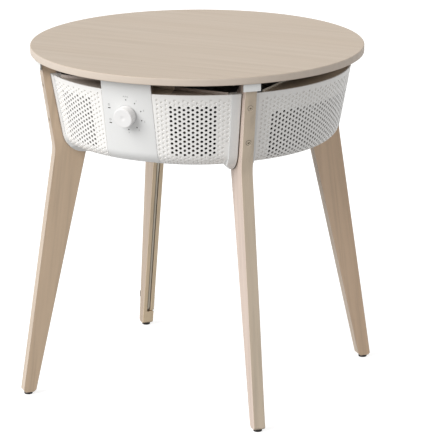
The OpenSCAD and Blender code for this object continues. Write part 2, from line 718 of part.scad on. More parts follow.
module fan_impeller() color(white) difference() {
  union() {
    translate([0, 0, impeller_top_z - plate_t]) cylinder(d = impeller_d, h = plate_t);
    translate([0, 0, hub_bottom_z])
      cylinder(r = cup_r + hub_play + hub_wall, h = impeller_top_z - hub_bottom_z);
    difference() {
      translate([0, 0, blade_z - plate_t]) cylinder(d = impeller_d, h = plate_t);
      translate([0, 0, blade_z - plate_t - through]) cylinder(d = eye_d, h = plate_t + 2 * through);
    }
    for (i = [0:blade_count - 1]) rotate([0, 0, i * 360 / blade_count])
      translate([0, 0, blade_z - 1]) blade();
  }
  translate([0, 0, cup_bottom_z]) cylinder(r = cup_r + hub_play, h = impeller_top_z);
  translate([0, 0, hub_bottom_z - through]) cylinder(d = shaft_d, h = 10);
}

lip_gap = 2;
ring_t = 2.5;
lip_top_z = blade_z - plate_t;
module inlet_ring() color(white) rotate_extrude() polygon(concat(
  [[chamber_r + chamber_wall, chamber_top_z], [chamber_r + chamber_wall, chamber_top_z + ring_t]],
  fillet([chamber_r, chamber_top_z + ring_t], [eye_d / 2 - lip_gap, chamber_top_z + ring_t],
    [eye_d / 2 - lip_gap, blade_z + 10], 4),
  [[eye_d / 2 - lip_gap, lip_top_z], [eye_d / 2 - lip_gap - ring_t, lip_top_z]],
  fillet([eye_d / 2 - lip_gap - ring_t, blade_z], [eye_d / 2 - lip_gap - ring_t, chamber_top_z],
    [chamber_r, chamber_top_z], 6)));

// ---------- Filters and cover ----------

filter_play = 2;
filter_r = chamber_r - filter_play;
cover_r = ramp_r - 6;
cover_t = 2.5;
cover_z = saddle_z + 0.5;
cover_wall = 2.5;
cover_slot_w = 10;
cover_slot_step = 19;
cover_slot_r = 60;
cover_slot_sweep = 78;
module filter_cover() color(white) difference() {
  translate([0, 0, cover_z]) cylinder(r = cover_r, h = bottom_z - play - cover_z);
  difference() {
    translate([0, 0, cover_z + cover_t]) cylinder(r = cover_r - cover_wall, h = bottom_z);
    // The ring that carries the filters
    difference() {
      translate([0, 0, cover_z]) cylinder(r = filter_r - 3, h = bottom_z - cover_z);
      translate([0, 0, cover_z - through]) cylinder(r = filter_r - 6, h = bottom_z);
    }
  }
  for (i = [0:4], a = [0:90:270]) rotate([0, 0, a + (90 - cover_slot_sweep) / 2])
    rotate_extrude(angle = cover_slot_sweep)
      translate([cover_slot_r + cover_slot_step * i, cover_z - through])
        square([cover_slot_w, cover_t + 2 * through]);
  translate([0, 0, cover_z - through]) cylinder(r = handle_r + play, h = cover_t + 2 * through);
}

// The handle in the middle of the cover, with a slot for two fingers
handle_r = 44;
handle_flange = 6;
handle_flange_t = 2.5;
grip_w = 60;
grip_depth = 28;
module cover_handle() color(white) difference() {
  union() {
    translate([0, 0, cover_z]) cylinder(r = handle_r, h = cover_t);
    translate([0, 0, cover_z + cover_t]) cylinder(r = handle_r + handle_flange, h = handle_flange_t);
  }
  translate([-grip_w / 2, -grip_depth / 2, cover_z - through])
    cube([grip_w, grip_depth, cover_t + handle_flange_t + 2 * through]);
}

pre_filter_z = bottom_z;
pre_filter_h = 5;
module pre_filter() color([0.45, 0.46, 0.48]) {
  difference() {
    translate([0, 0, pre_filter_z]) cylinder(r = filter_r, h = pre_filter_h);
    translate([0, 0, pre_filter_z - through]) cylinder(r = filter_r - 8, h = pre_filter_h + 2 * through);
  }
  translate([0, 0, pre_filter_z + 2]) cylinder(r = filter_r - 6, h = 1);
}

filter_z = pre_filter_z + pre_filter_h + play;
filter_core_r = 30;
pleat_w = 2;
pleat_depth = 12;
module particle_filter() color([0.92, 0.92, 0.88]) difference() {
  translate([0, 0, filter_z]) cylinder(r = filter_r, h = filter_h);
  translate([0, 0, filter_z + filter_h - 6]) cylinder(r = filter_r - 6, h = 6 + through);
  for (a = [0:30:330]) rotate([0, 0, a]) translate([filter_core_r, -pleat_w / 2, filter_z - through])
    cube([filter_r - 8 - filter_core_r, pleat_w, pleat_depth + through]);
}

// ---------- Electronics ----------

button_travel = 1;
button_flange_z = floor_z + play;
button_flange_t = 1;
module reset_button() color([0.5, 0.5, 0.5]) translate([0, -button_r, 0]) {
  translate([0, 0, button_z]) cylinder(d = button_d, h = button_flange_z + button_flange_t / 2 - button_z);
  translate([0, 0, button_flange_z]) cylinder(r = button_d / 2 + button_flange, h = button_flange_t);
}
switch_z = button_flange_z + button_flange_t + button_travel + play;
switch_w = 16;
switch_depth = 14;
switch_h = 5;
switch_foot = 3;
module reset_switch() color(dark) translate([-switch_w / 2, -button_r - switch_depth / 2, 0]) {
  translate([0, 0, switch_z]) cube([switch_w, switch_depth, switch_h]);
  for (x = [-switch_foot, switch_w]) translate([x, 0, floor_z])
    cube([switch_foot, switch_depth, switch_z + switch_h - floor_z]);
}

power_z = floor_z + standoff_h;
power_plug_x = 40;
// The board carries a coil, two capacitors and the socket of the leads
coil_at = [-30, -11];
coil_size = [24, 22, 18];
capacitor_d = 11;
capacitor_h = 20;
socket_size = [10, 16, 10];
module power_board() color(green) translate([0, power_y, power_z]) {
  translate([-power_w / 2, -power_depth / 2, 0]) cube([power_w, power_depth, board_t]);
  translate([coil_at.x, coil_at.y, board_t - 0.1]) cube(coil_size);
  for (x = [4, 18]) translate([x, 0, board_t - 0.1]) cylinder(d = capacitor_d, h = capacitor_h);
  translate([power_plug_x - socket_size.x, -socket_size.y / 2, board_t - 0.1]) cube(socket_size);
}

sensor_r = 178;
sensor_size = [30, 46, 18];
sensor_mouth = 9;
module dust_sensor() color(dark) rotate([0, 0, 180]) difference() {
  translate([sensor_r - sensor_size.x / 2, -sensor_size.y / 2, floor_z]) cube(sensor_size);
  translate([sensor_r + 2, sensor_mouth - 1, floor_z + 6]) cube([20, sensor_mouth, sensor_mouth]);
}

wire_d = 3;
module fan_lead() color(dark) tube([
  [bracket_r, 0, bracket_z + 3], [70, 12, bracket_z + 3], [95, 50, bracket_z + 3], [96, 110, bracket_z + 3],
  [70, 150, bracket_z + 2], [45, 165, bracket_z - 8], [36, 172, bracket_z - 30],
  [35, power_y, power_z + 30], [35, power_y, power_z + 11.5]], wire_d);
lead_ring_gap = 8.5;
lead_ring_r = chamber_r + chamber_wall + lead_ring_gap;
// The point x, y, z of the panel's local frame
function on_panel(x, y, z) = [x, -knob_r0 - sin(shell_taper) * y - cos(shell_taper) * z,
  knob_z + cos(shell_taper) * y - sin(shell_taper) * z];
module panel_lead() color(dark) tube(concat(
  [on_panel(20, -15, board_back), on_panel(20, -15, board_back - 8), on_panel(24, -22, board_back - 22),
   [40, -177, floor_z + 46], [54, -162, floor_z + 34]],
  [for (a = [-64:8:64]) [lead_ring_r * cos(a), lead_ring_r * sin(a), floor_z + 30]],
  [[60, 162, floor_z + 26], [50, 172, power_z + 10], [44, power_y, power_z + 7],
   [power_plug_x, power_y, power_z + 6]]), wire_d);

// ---------- Power lead ----------

// The gland stands on the saddle of the back left post and points along the leg
gland_top_r = saddle_in_r + 1;
gland_len = 22;
leg_slope = atan2(foot_in.x - leg_in_top.x, leg_in_top.y - foot_in.y);
module cord_gland() color(dark) rotate([0, 0, LEG_BACK_LEFT]) translate([gland_top_r, 0, saddle_z])
  difference() {
    rotate([0, -leg_slope, 0]) translate([0, 0, -gland_len]) difference() {
      cylinder(r1 = lead_d / 2 + 0.6, r2 = lead_d / 2 + 2.2, h = gland_len + 5);
      translate([0, 0, -through]) cylinder(d = lead_d, h = gland_len / 2 + through);
    }
    translate([-20, -20, 0]) cube([40, 40, 40]);
  }

// Route of the lead's middle line. First [radius, height] in the plane of the back left leg:
// out of the gland, into the groove and through the hole at its end
LEG_ROUTE = [
  [189.5, 393], [192, 382], [195, 370], [198.5, 358], [202.5, 346], [206.5, 334], [211, 322],
  [215, 310], [218.5, 298], [221.5, 286], [225, 274], [230.5, 250], [241.7, 200], [253.2, 150],
  [264.7, 100], [273.9, 60], [277.3, 45], [279, 37], [280.3, 34], [282.3, 31.8], [285, 30.4],
  [288, 30], [294, 30], [299, 30]];
// Then [x, y, z] from behind the leg down to the floor and up to the hank
FLOOR_ROUTE = [
  [-215, 215, 30], [-218.5, 218.5, 29.3], [-221.5, 222.5, 27.3], [-224, 227, 23.5],
  [-226, 230.5, 18.5], [-227.5, 234.5, 12.8], [-228.5, 238.5, 8], [-229.9, 243.3, 4.6],
  [-232.2, 248.6, 2.9], [-235.3, 254.4, 2.2], [-239, 261, 2.2], [-243, 269, 2.2]];
LEAD_ROUTE = concat([for (p = LEG_ROUTE) [-p.x * sqrt(0.5), p.x * sqrt(0.5), p.y]], FLOOR_ROUTE);
module power_lead() color(dark) tube(LEAD_ROUTE, lead_d, 8);

// The hank stands on edge behind the leg, and the connector lies beyond it
hank_start = [-232.9, 263.1, 0];
hank_angle = 117.8;
module at_hank() translate(hank_start) rotate([0, 0, hank_angle]) children();
// A flat outline with round ends
module hank_outline() {
  translate([hank_h / 2, 0]) square([hank_len - hank_h, hank_h]);
  for (x = [hank_h / 2, hank_len - hank_h / 2]) translate([x, hank_h / 2]) circle(d = hank_h);
}
module cord_hank() color(dark) at_hank()
  rotate([90, 0, 0]) linear_extrude(height = hank_w, center = true) hank_outline();

tie_t = 1;
tie_w = 6;
module cord_tie() color(dark) at_hank() difference() {
  translate([hank_len / 2 - tie_w / 2, -hank_w / 2 - play - tie_t, 0])
    cube([tie_w, hank_w + 2 * (play + tie_t), hank_h + play + tie_t]);
  translate([hank_len / 2 - tie_w, -hank_w / 2 - play, -through])
    cube([2 * tie_w, hank_w + 2 * play, hank_h + play + through]);
}

connector_d = 10;
connector_len = 24;
connector_sleeve = 10;
connector_sleeve_d = 7;
connector_tip_len = 9;
connector_tip_d = 5.5;
connector_bore = 2.1;
// The lead leaves the hank at its side
plug_side = hank_w / 2 + 1;
plug_start = hank_len - 8;
module lead_plug() color(dark) at_hank()
  translate([plug_start, plug_side, connector_d / 2]) rotate([0, 90, 0]) {
    cylinder(d1 = lead_d, d2 = connector_sleeve_d, h = connector_sleeve);
    translate([0, 0, connector_sleeve]) cylinder(d = connector_d, h = connector_len);
    translate([0, 0, connector_sleeve + connector_len]) difference() {
      cylinder(d = connector_tip_d, h = connector_tip_len);
      translate([0, 0, 1]) cylinder(d = connector_bore, h = connector_tip_len);
    }
  }

// ---------- Drawing ----------

table_top();
leg_front_right();
leg_back_right();
leg_back_left();
leg_front_left();
post_front_right();
post_back_right();
post_back_left();
post_front_left();
leg_screws();
top_screws();
foot_glides();
grille_front_left();
grille_front_right();
grille_right();
grille_back();
grille_left();
control_panel();
light_pipes();
control_board();
board_screws();
encoder_body();
push_plunger();
encoder_shaft();
control_knob();
base_pan();
top_deck();
deck_screws();
inlet_ring();
motor_bracket();
motor_screws();
motor_stator();
lower_bearing();
upper_bearing();
magnet_ring();
rotor_cup();
fan_shaft();
fan_nut();
fan_impeller();
filter_cover();
cover_handle();
pre_filter();
particle_filter();
reset_button();
reset_switch();
power_board();
dust_sensor();
fan_lead();
panel_lead();
cord_gland();
power_lead();
cord_hank();
cord_tie();
lead_plug();
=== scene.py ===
import math

import bmesh
import bpy
import numpy as np
from mathutils import Matrix, Vector


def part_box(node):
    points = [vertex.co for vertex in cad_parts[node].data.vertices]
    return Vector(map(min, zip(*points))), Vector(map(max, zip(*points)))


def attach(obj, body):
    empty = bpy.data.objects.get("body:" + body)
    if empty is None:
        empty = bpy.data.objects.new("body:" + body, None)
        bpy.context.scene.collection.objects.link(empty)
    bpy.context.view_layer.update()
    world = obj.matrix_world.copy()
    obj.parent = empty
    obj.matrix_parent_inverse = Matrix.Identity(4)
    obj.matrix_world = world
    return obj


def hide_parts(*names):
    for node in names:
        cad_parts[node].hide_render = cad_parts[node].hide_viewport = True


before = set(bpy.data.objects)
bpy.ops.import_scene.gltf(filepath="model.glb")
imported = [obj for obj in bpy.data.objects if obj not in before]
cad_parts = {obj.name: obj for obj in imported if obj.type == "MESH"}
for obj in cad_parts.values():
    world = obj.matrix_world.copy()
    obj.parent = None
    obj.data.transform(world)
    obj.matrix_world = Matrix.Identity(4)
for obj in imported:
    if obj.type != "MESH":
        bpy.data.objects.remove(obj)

# Round side table with an air purifier under its top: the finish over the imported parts.
# Shapes are worked out in millimetres; MM turns them into metres.
MM = 0.001
UP = (0, 0, 1)
SQUARE = np.array([(-1, -1), (1, -1), (1, 1), (-1, 1)])
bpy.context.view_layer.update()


def node_box(node):
    """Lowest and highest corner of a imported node, in millimetres."""
    low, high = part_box(node)
    return np.array(low) / MM, np.array(high) / MM


def in_scene(name, data):
    """A new object with its data, linked into the scene."""
    made = bpy.data.objects.new(name, data)
    bpy.context.scene.collection.objects.link(made)
    return made


def turned(degrees, axis="Z"):
    """A rotation about one of the axes."""
    return Matrix.Rotation(math.radians(degrees), 4, axis)


# -------- shader nodes

def feed(node, inputs):
    """Fills a node's inputs: an output is linked into one, anything else becomes its value."""
    for name, value in inputs.items():
        if isinstance(value, bpy.types.NodeSocket):
            node.id_data.links.new(value, node.inputs[name])
        else:
            node.inputs[name].default_value = value


def added(tree, kind, inputs, **settings):
    """A new shader node with its settings and inputs."""
    node = tree.nodes.new("ShaderNode" + kind)
    for name, value in settings.items():
        setattr(node, name, value)
    feed(node, inputs)
    return node


def emptied(owner):
    """The node tree of a world or a material, with nothing in it."""
    owner.use_nodes = True
    owner.node_tree.nodes.clear()
    return owner.node_tree


def larger(tree, first, second):
    """The larger of two values."""
    return added(tree, "Math", {0: first, 1: second}, operation="MAXIMUM").outputs[0]


# -------- camera and light

SIGHT_TURN = 26.207
SIGHT_TILT = 74.424
SIGHT_ROLL = -0.133
SIGHT_PLACE = (2.0041, -3.9899, 1.5119)
SIGHT_END = 60
SENSOR = 36.0
LENS = 230.51

SKY_LEVEL = 0.56
KEY_LEVEL = 2.75
KEY_SPREAD = 46
KEY_AZIMUTH = -121
KEY_HEIGHT = 35
FLOOR_SHADE = 0.45
FLOOR_GLOW = 0.76
FLOOR_HALF = 15


def set_camera():
    """Puts the camera where the table is seen from the front right, a little from above."""
    lens = bpy.data.cameras.new("camera")
    lens.sensor_width = SENSOR
    lens.lens = LENS
    lens.clip_end = SIGHT_END
    camera = in_scene("camera", lens)
    facing = turned(SIGHT_TURN) @ turned(SIGHT_TILT, "X") @ turned(SIGHT_ROLL)
    camera.matrix_world = Matrix.Translation(SIGHT_PLACE) @ facing
    bpy.context.scene.camera = camera


def seen_directly(tree):
    """A value of 1 for rays that reach the eye straight, off a gloss or through glass, else 0."""
    path = added(tree, "LightPath", {}).outputs
    straight = larger(tree, path["Is Camera Ray"], path["Is Glossy Ray"])
    return larger(tree, straight, path["Is Transmission Ray"])


def set_world():
    """White where it is looked at, an even pale glow where it only lights."""
    world = bpy.data.worlds.new("studio")
    bpy.context.scene.world = world
    tree = emptied(world)
    glow, white = (added(tree, "Background", {"Color": (1, 1, 1, 1), "Strength": level}).outputs[0]
                   for level in (SKY_LEVEL, 1.0))
    both = added(tree, "MixShader", {"Fac": seen_directly(tree), 1: glow, 2: white})
    added(tree, "OutputWorld", {"Surface": both.outputs[0]})


def set_key():
    """One broad soft lamp from the left of the camera."""
    lamp = bpy.data.lights.new("key", "SUN")
    lamp.energy = KEY_LEVEL
    lamp.angle = math.radians(KEY_SPREAD)
    key = in_scene("key", lamp)
    key.matrix_world = turned(KEY_AZIMUTH + 90) @ turned(90 - KEY_HEIGHT, "X")


def set_floor():
    """A pale floor that is nearly white to the eye and keeps the shadow of the table."""
    mesh = bpy.data.meshes.new("floor")
    mesh.from_pydata([(x, y, 0) for x, y in SQUARE * FLOOR_HALF], [], [(0, 1, 2, 3)])
    paint = bpy.data.materials.new("floor")
    tree = emptied(paint)
    dull = added(tree, "BsdfDiffuse", {"Color": (FLOOR_SHADE, FLOOR_SHADE, FLOOR_SHADE, 1)})
    level = added(tree, "Math", {0: seen_directly(tree), 1: FLOOR_GLOW}, operation="MULTIPLY")
    glow = added(tree, "Emission", {"Strength": level.outputs[0]})
    both = added(tree, "AddShader", {0: dull.outputs[0], 1: glow.outputs[0]})
    added(tree, "OutputMaterial", {"Surface": both.outputs[0]})
    mesh.materials.append(paint)
    in_scene("floor", mesh)


set_camera()
set_world()
set_key()
set_floor()
bpy.context.scene.view_settings.view_transform = "Standard"


# -------- finishes

NOISE_LOW, NOISE_HIGH = 0.3, 0.7
TOOTH_SCALE = 900
# Depth in metres
TOOTH = 0.00005


def blank(name):
    """A new material with its principled shader: (material, node tree, shader)."""
    made = bpy.data.materials.new(name)
    made.use_nodes = True
    return made, made.node_tree, made.node_tree.nodes["Principled BSDF"]


def spot(tree):
    """The place of the shaded point in the object's own frame."""
    return added(tree, "TexCoord", {}).outputs["Object"]


def grain(tree, scale, stretch=(1, 1, 1), turn=(0, 0, 0), detail=4.0, soft=0.5):
    """Noise on object coordinates, drawn out along the turned axes by the stretch factors."""
    turn = [math.radians(t) for t in turn]
    place = added(tree, "Mapping", {"Vector": spot(tree), "Rotation": turn, "Scale": stretch},
                  vector_type="TEXTURE")
    return added(tree, "TexNoise", {"Vector": place.outputs["Vector"], "Scale": scale, "Detail": detail,
                                    "Roughness": soft}).outputs["Fac"]


def bands(tree, direction, scale, distortion=0.0):
    """Even waves across one of the object's axes."""
    return added(tree, "TexWave", {"Vector": spot(tree), "Scale": scale, "Distortion": distortion},
                 bands_direction=direction).outputs["Fac"]


def tones(tree, value, stops):
    """Colours along a value: stops are (place, (r, g, b))."""
    ramp = added(tree, "ValToRGB", {"Fac": value})
    marks = ramp.color_ramp.elements
    for number, (place, colour) in enumerate((stops[0], stops[-1])):
        marks[number].position = place
        marks[number].color = (*colour, 1)
    for place, colour in stops[1:-1]:
        marks.new(place).color = (*colour, 1)
    return ramp.outputs["Color"]


def multiplied(tree, first, second, amount=1.0):
    """One colour output times another, by a share of the way."""
    return added(tree, "Mix", {"Factor": amount, "A": first, "B": second}, data_type="RGBA",
                 blend_type="MULTIPLY").outputs["Result"]


def spread(tree, noise, low, high):
    """Maps the range that most of a noise falls in onto low to high."""
    return added(tree, "MapRange", {"Value": noise, "From Min": NOISE_LOW, "From Max": NOISE_HIGH,
                                    "To Min": low, "To Max": high}).outputs["Result"]


def raise_surface(shader, value, strength, height):
    """Lets a value lift the surface by up to height, in metres."""
    bump = added(shader.id_data, "Bump", {"Strength": strength, "Distance": height, "Height": value})
    feed(shader, {"Normal": bump.outputs["Normal"]})


def shade(colour, factor):
    """A colour made lighter or darker."""
    return tuple(min(1.0, c * factor) for c in colour)


def toothed(tree, shader, rough, tooth=TOOTH):
    """The fine spark-eroded tooth of moulded plastic."""
    fine = grain(tree, TOOTH_SCALE, detail=2)
    feed(shader, {"Roughness": spread(tree, fine, rough - 0.04, rough + 0.05)})
    raise_surface(shader, fine, 0.4, tooth)


def wood(name, colour, turn, contrast=1.0):
    """Stained wood with a matt lacquer: fine fibres and pores over slow bands, drawn out along the board."""
    made, tree, shader = blank(name)
    fibres = grain(tree, 95, (1, 1, 26), turn, 5, 0.62)
    slow_bands = grain(tree, 16, (1, 1, 14), turn, 3)
    pores = grain(tree, 260, (1, 1, 40), turn, 2)
    fine = tones(tree, fibres, [(0.32, shade(colour, 1 - 0.13 * contrast)), (0.5, colour),
                                (0.7, shade(colour, 1 + 0.06 * contrast))])
    slow = tones(tree, slow_bands, [(NOISE_LOW, shade((1, 0.985, 0.965), 1 - 0.09 * contrast)),
                                (NOISE_HIGH, (1, 1, 1))])
    dots = tones(tree, pores, [(0.62, (1, 1, 1)), (0.74, (0.86, 0.84, 0.81))])
    mixed = multiplied(tree, multiplied(tree, fine, slow), dots, 0.55 * contrast)
    feed(shader, {"Base Color": mixed, "Roughness": spread(tree, fibres, 0.62, 0.5),
                  "Specular IOR Level": 0.35})
    raise_surface(shader, fibres, 0.35, 0.00012)
    return made


def moulded(name, colour, rough, tooth=TOOTH):
    """Moulded plastic with its tooth and slow, faint changes of tone."""
    made, tree, shader = blank(name)
    slow = tones(tree, grain(tree, 7, detail=2), [(NOISE_LOW, shade(colour, 0.97)), (NOISE_HIGH, colour)])
    feed(shader, {"Base Color": slow, "Specular IOR Level": 0.4})
    toothed(tree, shader, rough, tooth)
    return made


def outward_brown(name, *colours):
    """Moulded plastic whose tone changes with the distance from the middle, over the deck's three radii:
    painted shade, dark toward the middle under the table top and lighter toward the rim.
    """
    made, tree, shader = blank(name)
    flat = added(tree, "VectorMath", {0: spot(tree), 1: (1, 1, 0)}, operation="MULTIPLY")
    reach = added(tree, "VectorMath", {0: flat.outputs[0]}, operation="LENGTH")
    feed(shader, {"Base Color": tones(tree, reach.outputs["Value"], list(zip(DECK_RADII, colours)))})
    toothed(tree, shader, 0.55)
    return made


def metal(name, colour, rough, brushed=(1, 1, 1)):
    """Bare or plated metal with fine turning or rolling marks."""
    made, tree, shader = blank(name)
    marks = grain(tree, 700, brushed, detail=3)
    feed(shader, {"Base Color": tones(tree, marks, [(NOISE_LOW, shade(colour, 0.82)), (NOISE_HIGH, colour)]),
                  "Roughness": spread(tree, marks, rough - 0.06, rough + 0.1), "Metallic": 1.0})
    raise_surface(shader, marks, 0.3, 0.00003)
    return made


def patterned(name, pattern, stops, lift, inputs):
    """A finish whose colour and height follow one pattern of a node tree: lift is (strength, metres)."""
    made, tree, shader = blank(name)
    value = pattern(tree)
    feed(shader, {"Base Color": tones(tree, value, stops), **inputs})
    raise_surface(shader, value, *lift)
    return made


def tracks(tree):
    """Angular cells, for the tracks and pads of a circuit board."""
    cells = added(tree, "TexVoronoi", {"Vector": spot(tree), "Scale": 240}, distance="CHEBYCHEV")
    return cells.outputs["Distance"]


def pleats(name, colour):
    """Felted filter paper in narrow folds."""
    made, tree, shader = blank(name)
    wave = bands(tree, "X", 90, 0.15)
    folds = tones(tree, wave, [(0.05, shade(colour, 0.62)), (0.6, colour)])
    felt = tones(tree, grain(tree, 500), [(NOISE_LOW, (0.93, 0.93, 0.92)), (NOISE_HIGH, (1, 1, 1))])
    feed(shader, {"Base Color": multiplied(tree, folds, felt), "Roughness": 0.9})
    raise_surface(shader, wave, 0.8, 0.0015)
    return made


LEG_AZIMUTHS = {"front_right": -45, "back_right": 45, "back_left": 135, "front_left": -135}
# Stains of each leg: its edges, its two broad faces. Partly real stain, the edges unlike the faces, and partly
# painted light and shade: the tones differ from leg to leg with the light that falls on each, the back-left
# leg's faces darkened and its edges lightened.
LEG_STAINS_AND_LIGHT = {"front_right": ((0.63, 0.53, 0.415), (0.66, 0.545, 0.475)),
              "back_right": ((0.60, 0.50, 0.405), (0.71, 0.53, 0.38)),
              "back_left": ((0.78, 0.63, 0.44), (0.47, 0.38, 0.30)),
              "front_left": ((0.60, 0.50, 0.405), (0.65, 0.50, 0.36))}
LEG_LEAN = -7
ALONG_X = (0, 90, 0)
TOP_CONTRAST = 0.3
# Distances in metres over which the deck's painted shade changes, from dark inside to light near the rim
DECK_RADII = (0.190, 0.215, 0.245)

TOP_WOOD = wood("top_wood", (0.53, 0.445, 0.36), ALONG_X, TOP_CONTRAST)
BAND_WOOD = wood("band_wood", (0.64, 0.555, 0.475), ALONG_X, TOP_CONTRAST)
LEG_WOODS = {leg: [wood(f"{part}_wood_{leg}", stain, (0, LEG_LEAN, LEG_AZIMUTHS[leg]))
                   for part, stain in zip(("edge", "face"), stains)] for leg, stains in LEG_STAINS_AND_LIGHT.items()}
SHELL_WHITE = moulded("shell_white", (0.80, 0.80, 0.79), 0.42)
GRILLE_WHITE = moulded("grille_white", (0.93, 0.915, 0.89), 0.42)
POST_WHITE = moulded("post_white", (0.83, 0.835, 0.825), 0.46)
KNOB_WHITE = moulded("knob_white", (0.86, 0.85, 0.84), 0.38)
# Painted light and shade on the deck: each brown runs from dark toward the middle, under the table top, to
# light toward the rim, and the four are lit and shaded copies of one brown for the stretches round the deck.
# The rib's near-white below is a painted highlight.
DECK_GAP_SHADE = outward_brown("deck_gap_shade", (0.16, 0.13, 0.105), (0.42, 0.355, 0.31), (0.80, 0.72, 0.67))
DECK_LIT = outward_brown("deck_lit", (0.66, 0.55, 0.44), (0.88, 0.76, 0.63), (0.90, 0.80, 0.70))
DECK_HALF_LIT = outward_brown("deck_half_lit", (0.20, 0.155, 0.12), (0.48, 0.395, 0.34), (0.78, 0.70, 0.645))
DECK_SHADE = outward_brown("deck_shade", (0.20, 0.16, 0.12), (0.44, 0.36, 0.28), (0.76, 0.65, 0.54))
RIB_HIGHLIGHT = moulded("rib_highlight", (0.95, 0.91, 0.82), 0.5)
# Painted shade on the posts: dark brown in the grooves beside each leg and on the pads in the cap slots, and
# darker still on the white post's column behind the leg's top end.
GAP_SHADE_BROWN = moulded("gap_shade_brown", (0.34, 0.27, 0.215), 0.7)
COLUMN_SHADE = moulded("column_shade", (0.2, 0.165, 0.145), 0.6)
# Painted shade inside the housing: brown in the front of the base pan; near black, which is also the magnet
# ring's own colour, inside the deck's ribs, in the base pan and round the screw heads; dark grey, which is also
# the inner parts' own colour, at the back of the base pan.
PAN_SHADE_BROWN = moulded("pan_shade_brown", (0.3, 0.235, 0.19), 0.6)
BLACK_AND_SHADE = moulded("black_and_shade", (0.055, 0.053, 0.05), 0.6)
GREY_AND_SHADE = moulded("grey_and_shade", (0.2, 0.19, 0.18), 0.55)
DARK_PLASTIC = moulded("dark_plastic", (0.03, 0.03, 0.031), 0.45)
GLIDE_BLACK = moulded("glide_black", (0.018, 0.015, 0.013), 0.6)
# The lead's beige-grey is partly painted shade: a pale lead darkened to how it looks in the shaded groove of
# the leg.
JACKET = moulded("lead_jacket", (0.70, 0.65, 0.54), 0.42, 0.00003)
PRINT_GREY = moulded("print_grey", (0.26, 0.255, 0.25), 0.6)
LIGHT_DARK = moulded("light_dark", (0.025, 0.025, 0.025), 0.4)
SCREW_METAL = metal("screw_metal", (0.42, 0.36, 0.285), 0.45)
STEEL = metal("steel", (0.62, 0.62, 0.63), 0.3, (1, 1, 8))
PAPER = pleats("paper", (0.82, 0.82, 0.79))
# Enamelled wire in close rings, solder mask with a few bright pads, and a net of crossed threads
COPPER = patterned("copper", lambda tree: bands(tree, "Z", 320, 0.6),
                   [(0.1, (0.324, 0.144, 0.063)), (0.7, (0.72, 0.32, 0.14))], (0.6, 0.0003),
                   {"Metallic": 0.8, "Roughness": 0.36})
BOARD_GREEN = patterned("board_green", tracks, [(0.04, (0.55, 0.5, 0.32)), (0.09, (0.021, 0.098, 0.049)),
                                                (0.4, (0.03, 0.14, 0.07)), (0.7, (0.0405, 0.189, 0.0945))],
                        (0.2, 0.0001), {"Roughness": 0.32})
NET_BLACK = patterned("net_black", lambda tree: larger(tree, bands(tree, "X", 260), bands(tree, "Y", 260)),
                      [(0.5, (0.0216, 0.0216, 0.0225)), (0.85, (0.12, 0.12, 0.125))], (0.7, 0.0005),
                      {"Roughness": 0.7})


# -------- mesh making

WELD = 0.003 * MM
CAD_WELD = 0.002 * MM
FLAT_TURN = math.radians(0.6)
SHARP_TURN = math.radians(32)
BEVEL_STEPS = 3
# Faces of a box whose corners go round its lower end and then round its upper one
BOX_FACES = np.array([(0, 3, 2, 1), (4, 5, 6, 7), (0, 1, 5, 4), (1, 2, 6, 5), (2, 3, 7, 6), (3, 0, 4, 7)])


def close_up(mesh):
    """Merges points that fall together and drops faces that have shrunk to nothing."""
    work = bmesh.new()
    work.from_mesh(mesh)
    bmesh.ops.remove_doubles(work, verts=work.verts, dist=WELD)
    bmesh.ops.dissolve_degenerate(work, dist=WELD / 3, edges=work.edges)
    work.to_mesh(mesh)
    work.free()


def piece(name, points, faces, finish, slot, stands_for=(), body="root", sharp=35):
    """A closed mesh from points (n, 3) in millimetres and arrays of faces, one for each corner count."""
    mesh = bpy.data.meshes.new(name)
    mesh.from_pydata((points * MM).tolist(), [], sum((group.tolist() for group in faces), []))
    mesh.validate()
    close_up(mesh)
    return dress(name, mesh, finish, stands_for, body, sharp)


def dress(name, mesh, finish, stands_for=(), body="root", sharp=35):
    """Puts a mesh into the scene with its finish and its body, and hides the imported nodes that it stands for.
    """
    made = in_scene(name, mesh)
    mesh.materials.clear()
    mesh.materials.append(finish)
    mesh.shade_smooth()
    mesh.set_sharp_from_angle(angle=math.radians(sharp))
    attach(made, body)
    if stands_for:
        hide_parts(*stands_for)
    return made


def rings_between(rows, columns):
    """Quads between rings of points that are stored one after another."""
    row = np.arange(rows - 1)[:, None] * columns
    column = np.arange(columns)[None, :]
    following = (column + 1) % columns
    quads = np.stack([row + column, row + following, row + columns + following, row + columns + column], -1)
    return quads.reshape(-1, 4)


def closed_rings(rows, columns):
    """Quads between rings of points of which the last joins the first."""
    return rings_between(rows + 1, columns) % (rows * columns)


def xyz(x, y, z):
    """Points (n, 3) from three coordinates that are brought to one shape."""
    return np.stack(np.broadcast_arrays(x, y, z), -1).reshape(-1, 3)


def steps_round(sides):
    """Angles of equal steps round a circle."""
    return np.arange(sides) * 2 * math.pi / sides


def lathe(profile, sides):
    """Each profile point (r, z) turned round the Z axis: x = r cos a, y = r sin a, a in equal steps."""
    r, z = np.asarray(profile, float).T[:, :, None]
    angle = steps_round(sides)
    return xyz(r * np.cos(angle), r * np.sin(angle), z), rings_between(len(profile), sides)


def rounded(corner, radius, start, end, steps=5):
    """Points of a quarter turn in the (r, z) plane about a centre, from one angle to another in degrees."""
    return [(corner[0] + radius * math.cos(a), corner[1] + radius * math.sin(a))
            for a in np.radians(np.linspace(start, end, steps))]


def block(middle, half, heights):
    """A box round a middle (x, y), with its half sizes and its lower and upper height."""
    x, y = (SQUARE * half + middle).T
    return np.concatenate([xyz(x, y, height) for height in heights]), BOX_FACES


def placed(points, origin, across, up, out):
    """Local (x, y, z) points laid along three axes from an origin."""
    return np.asarray(origin) + points @ np.array([across, up, out], float)


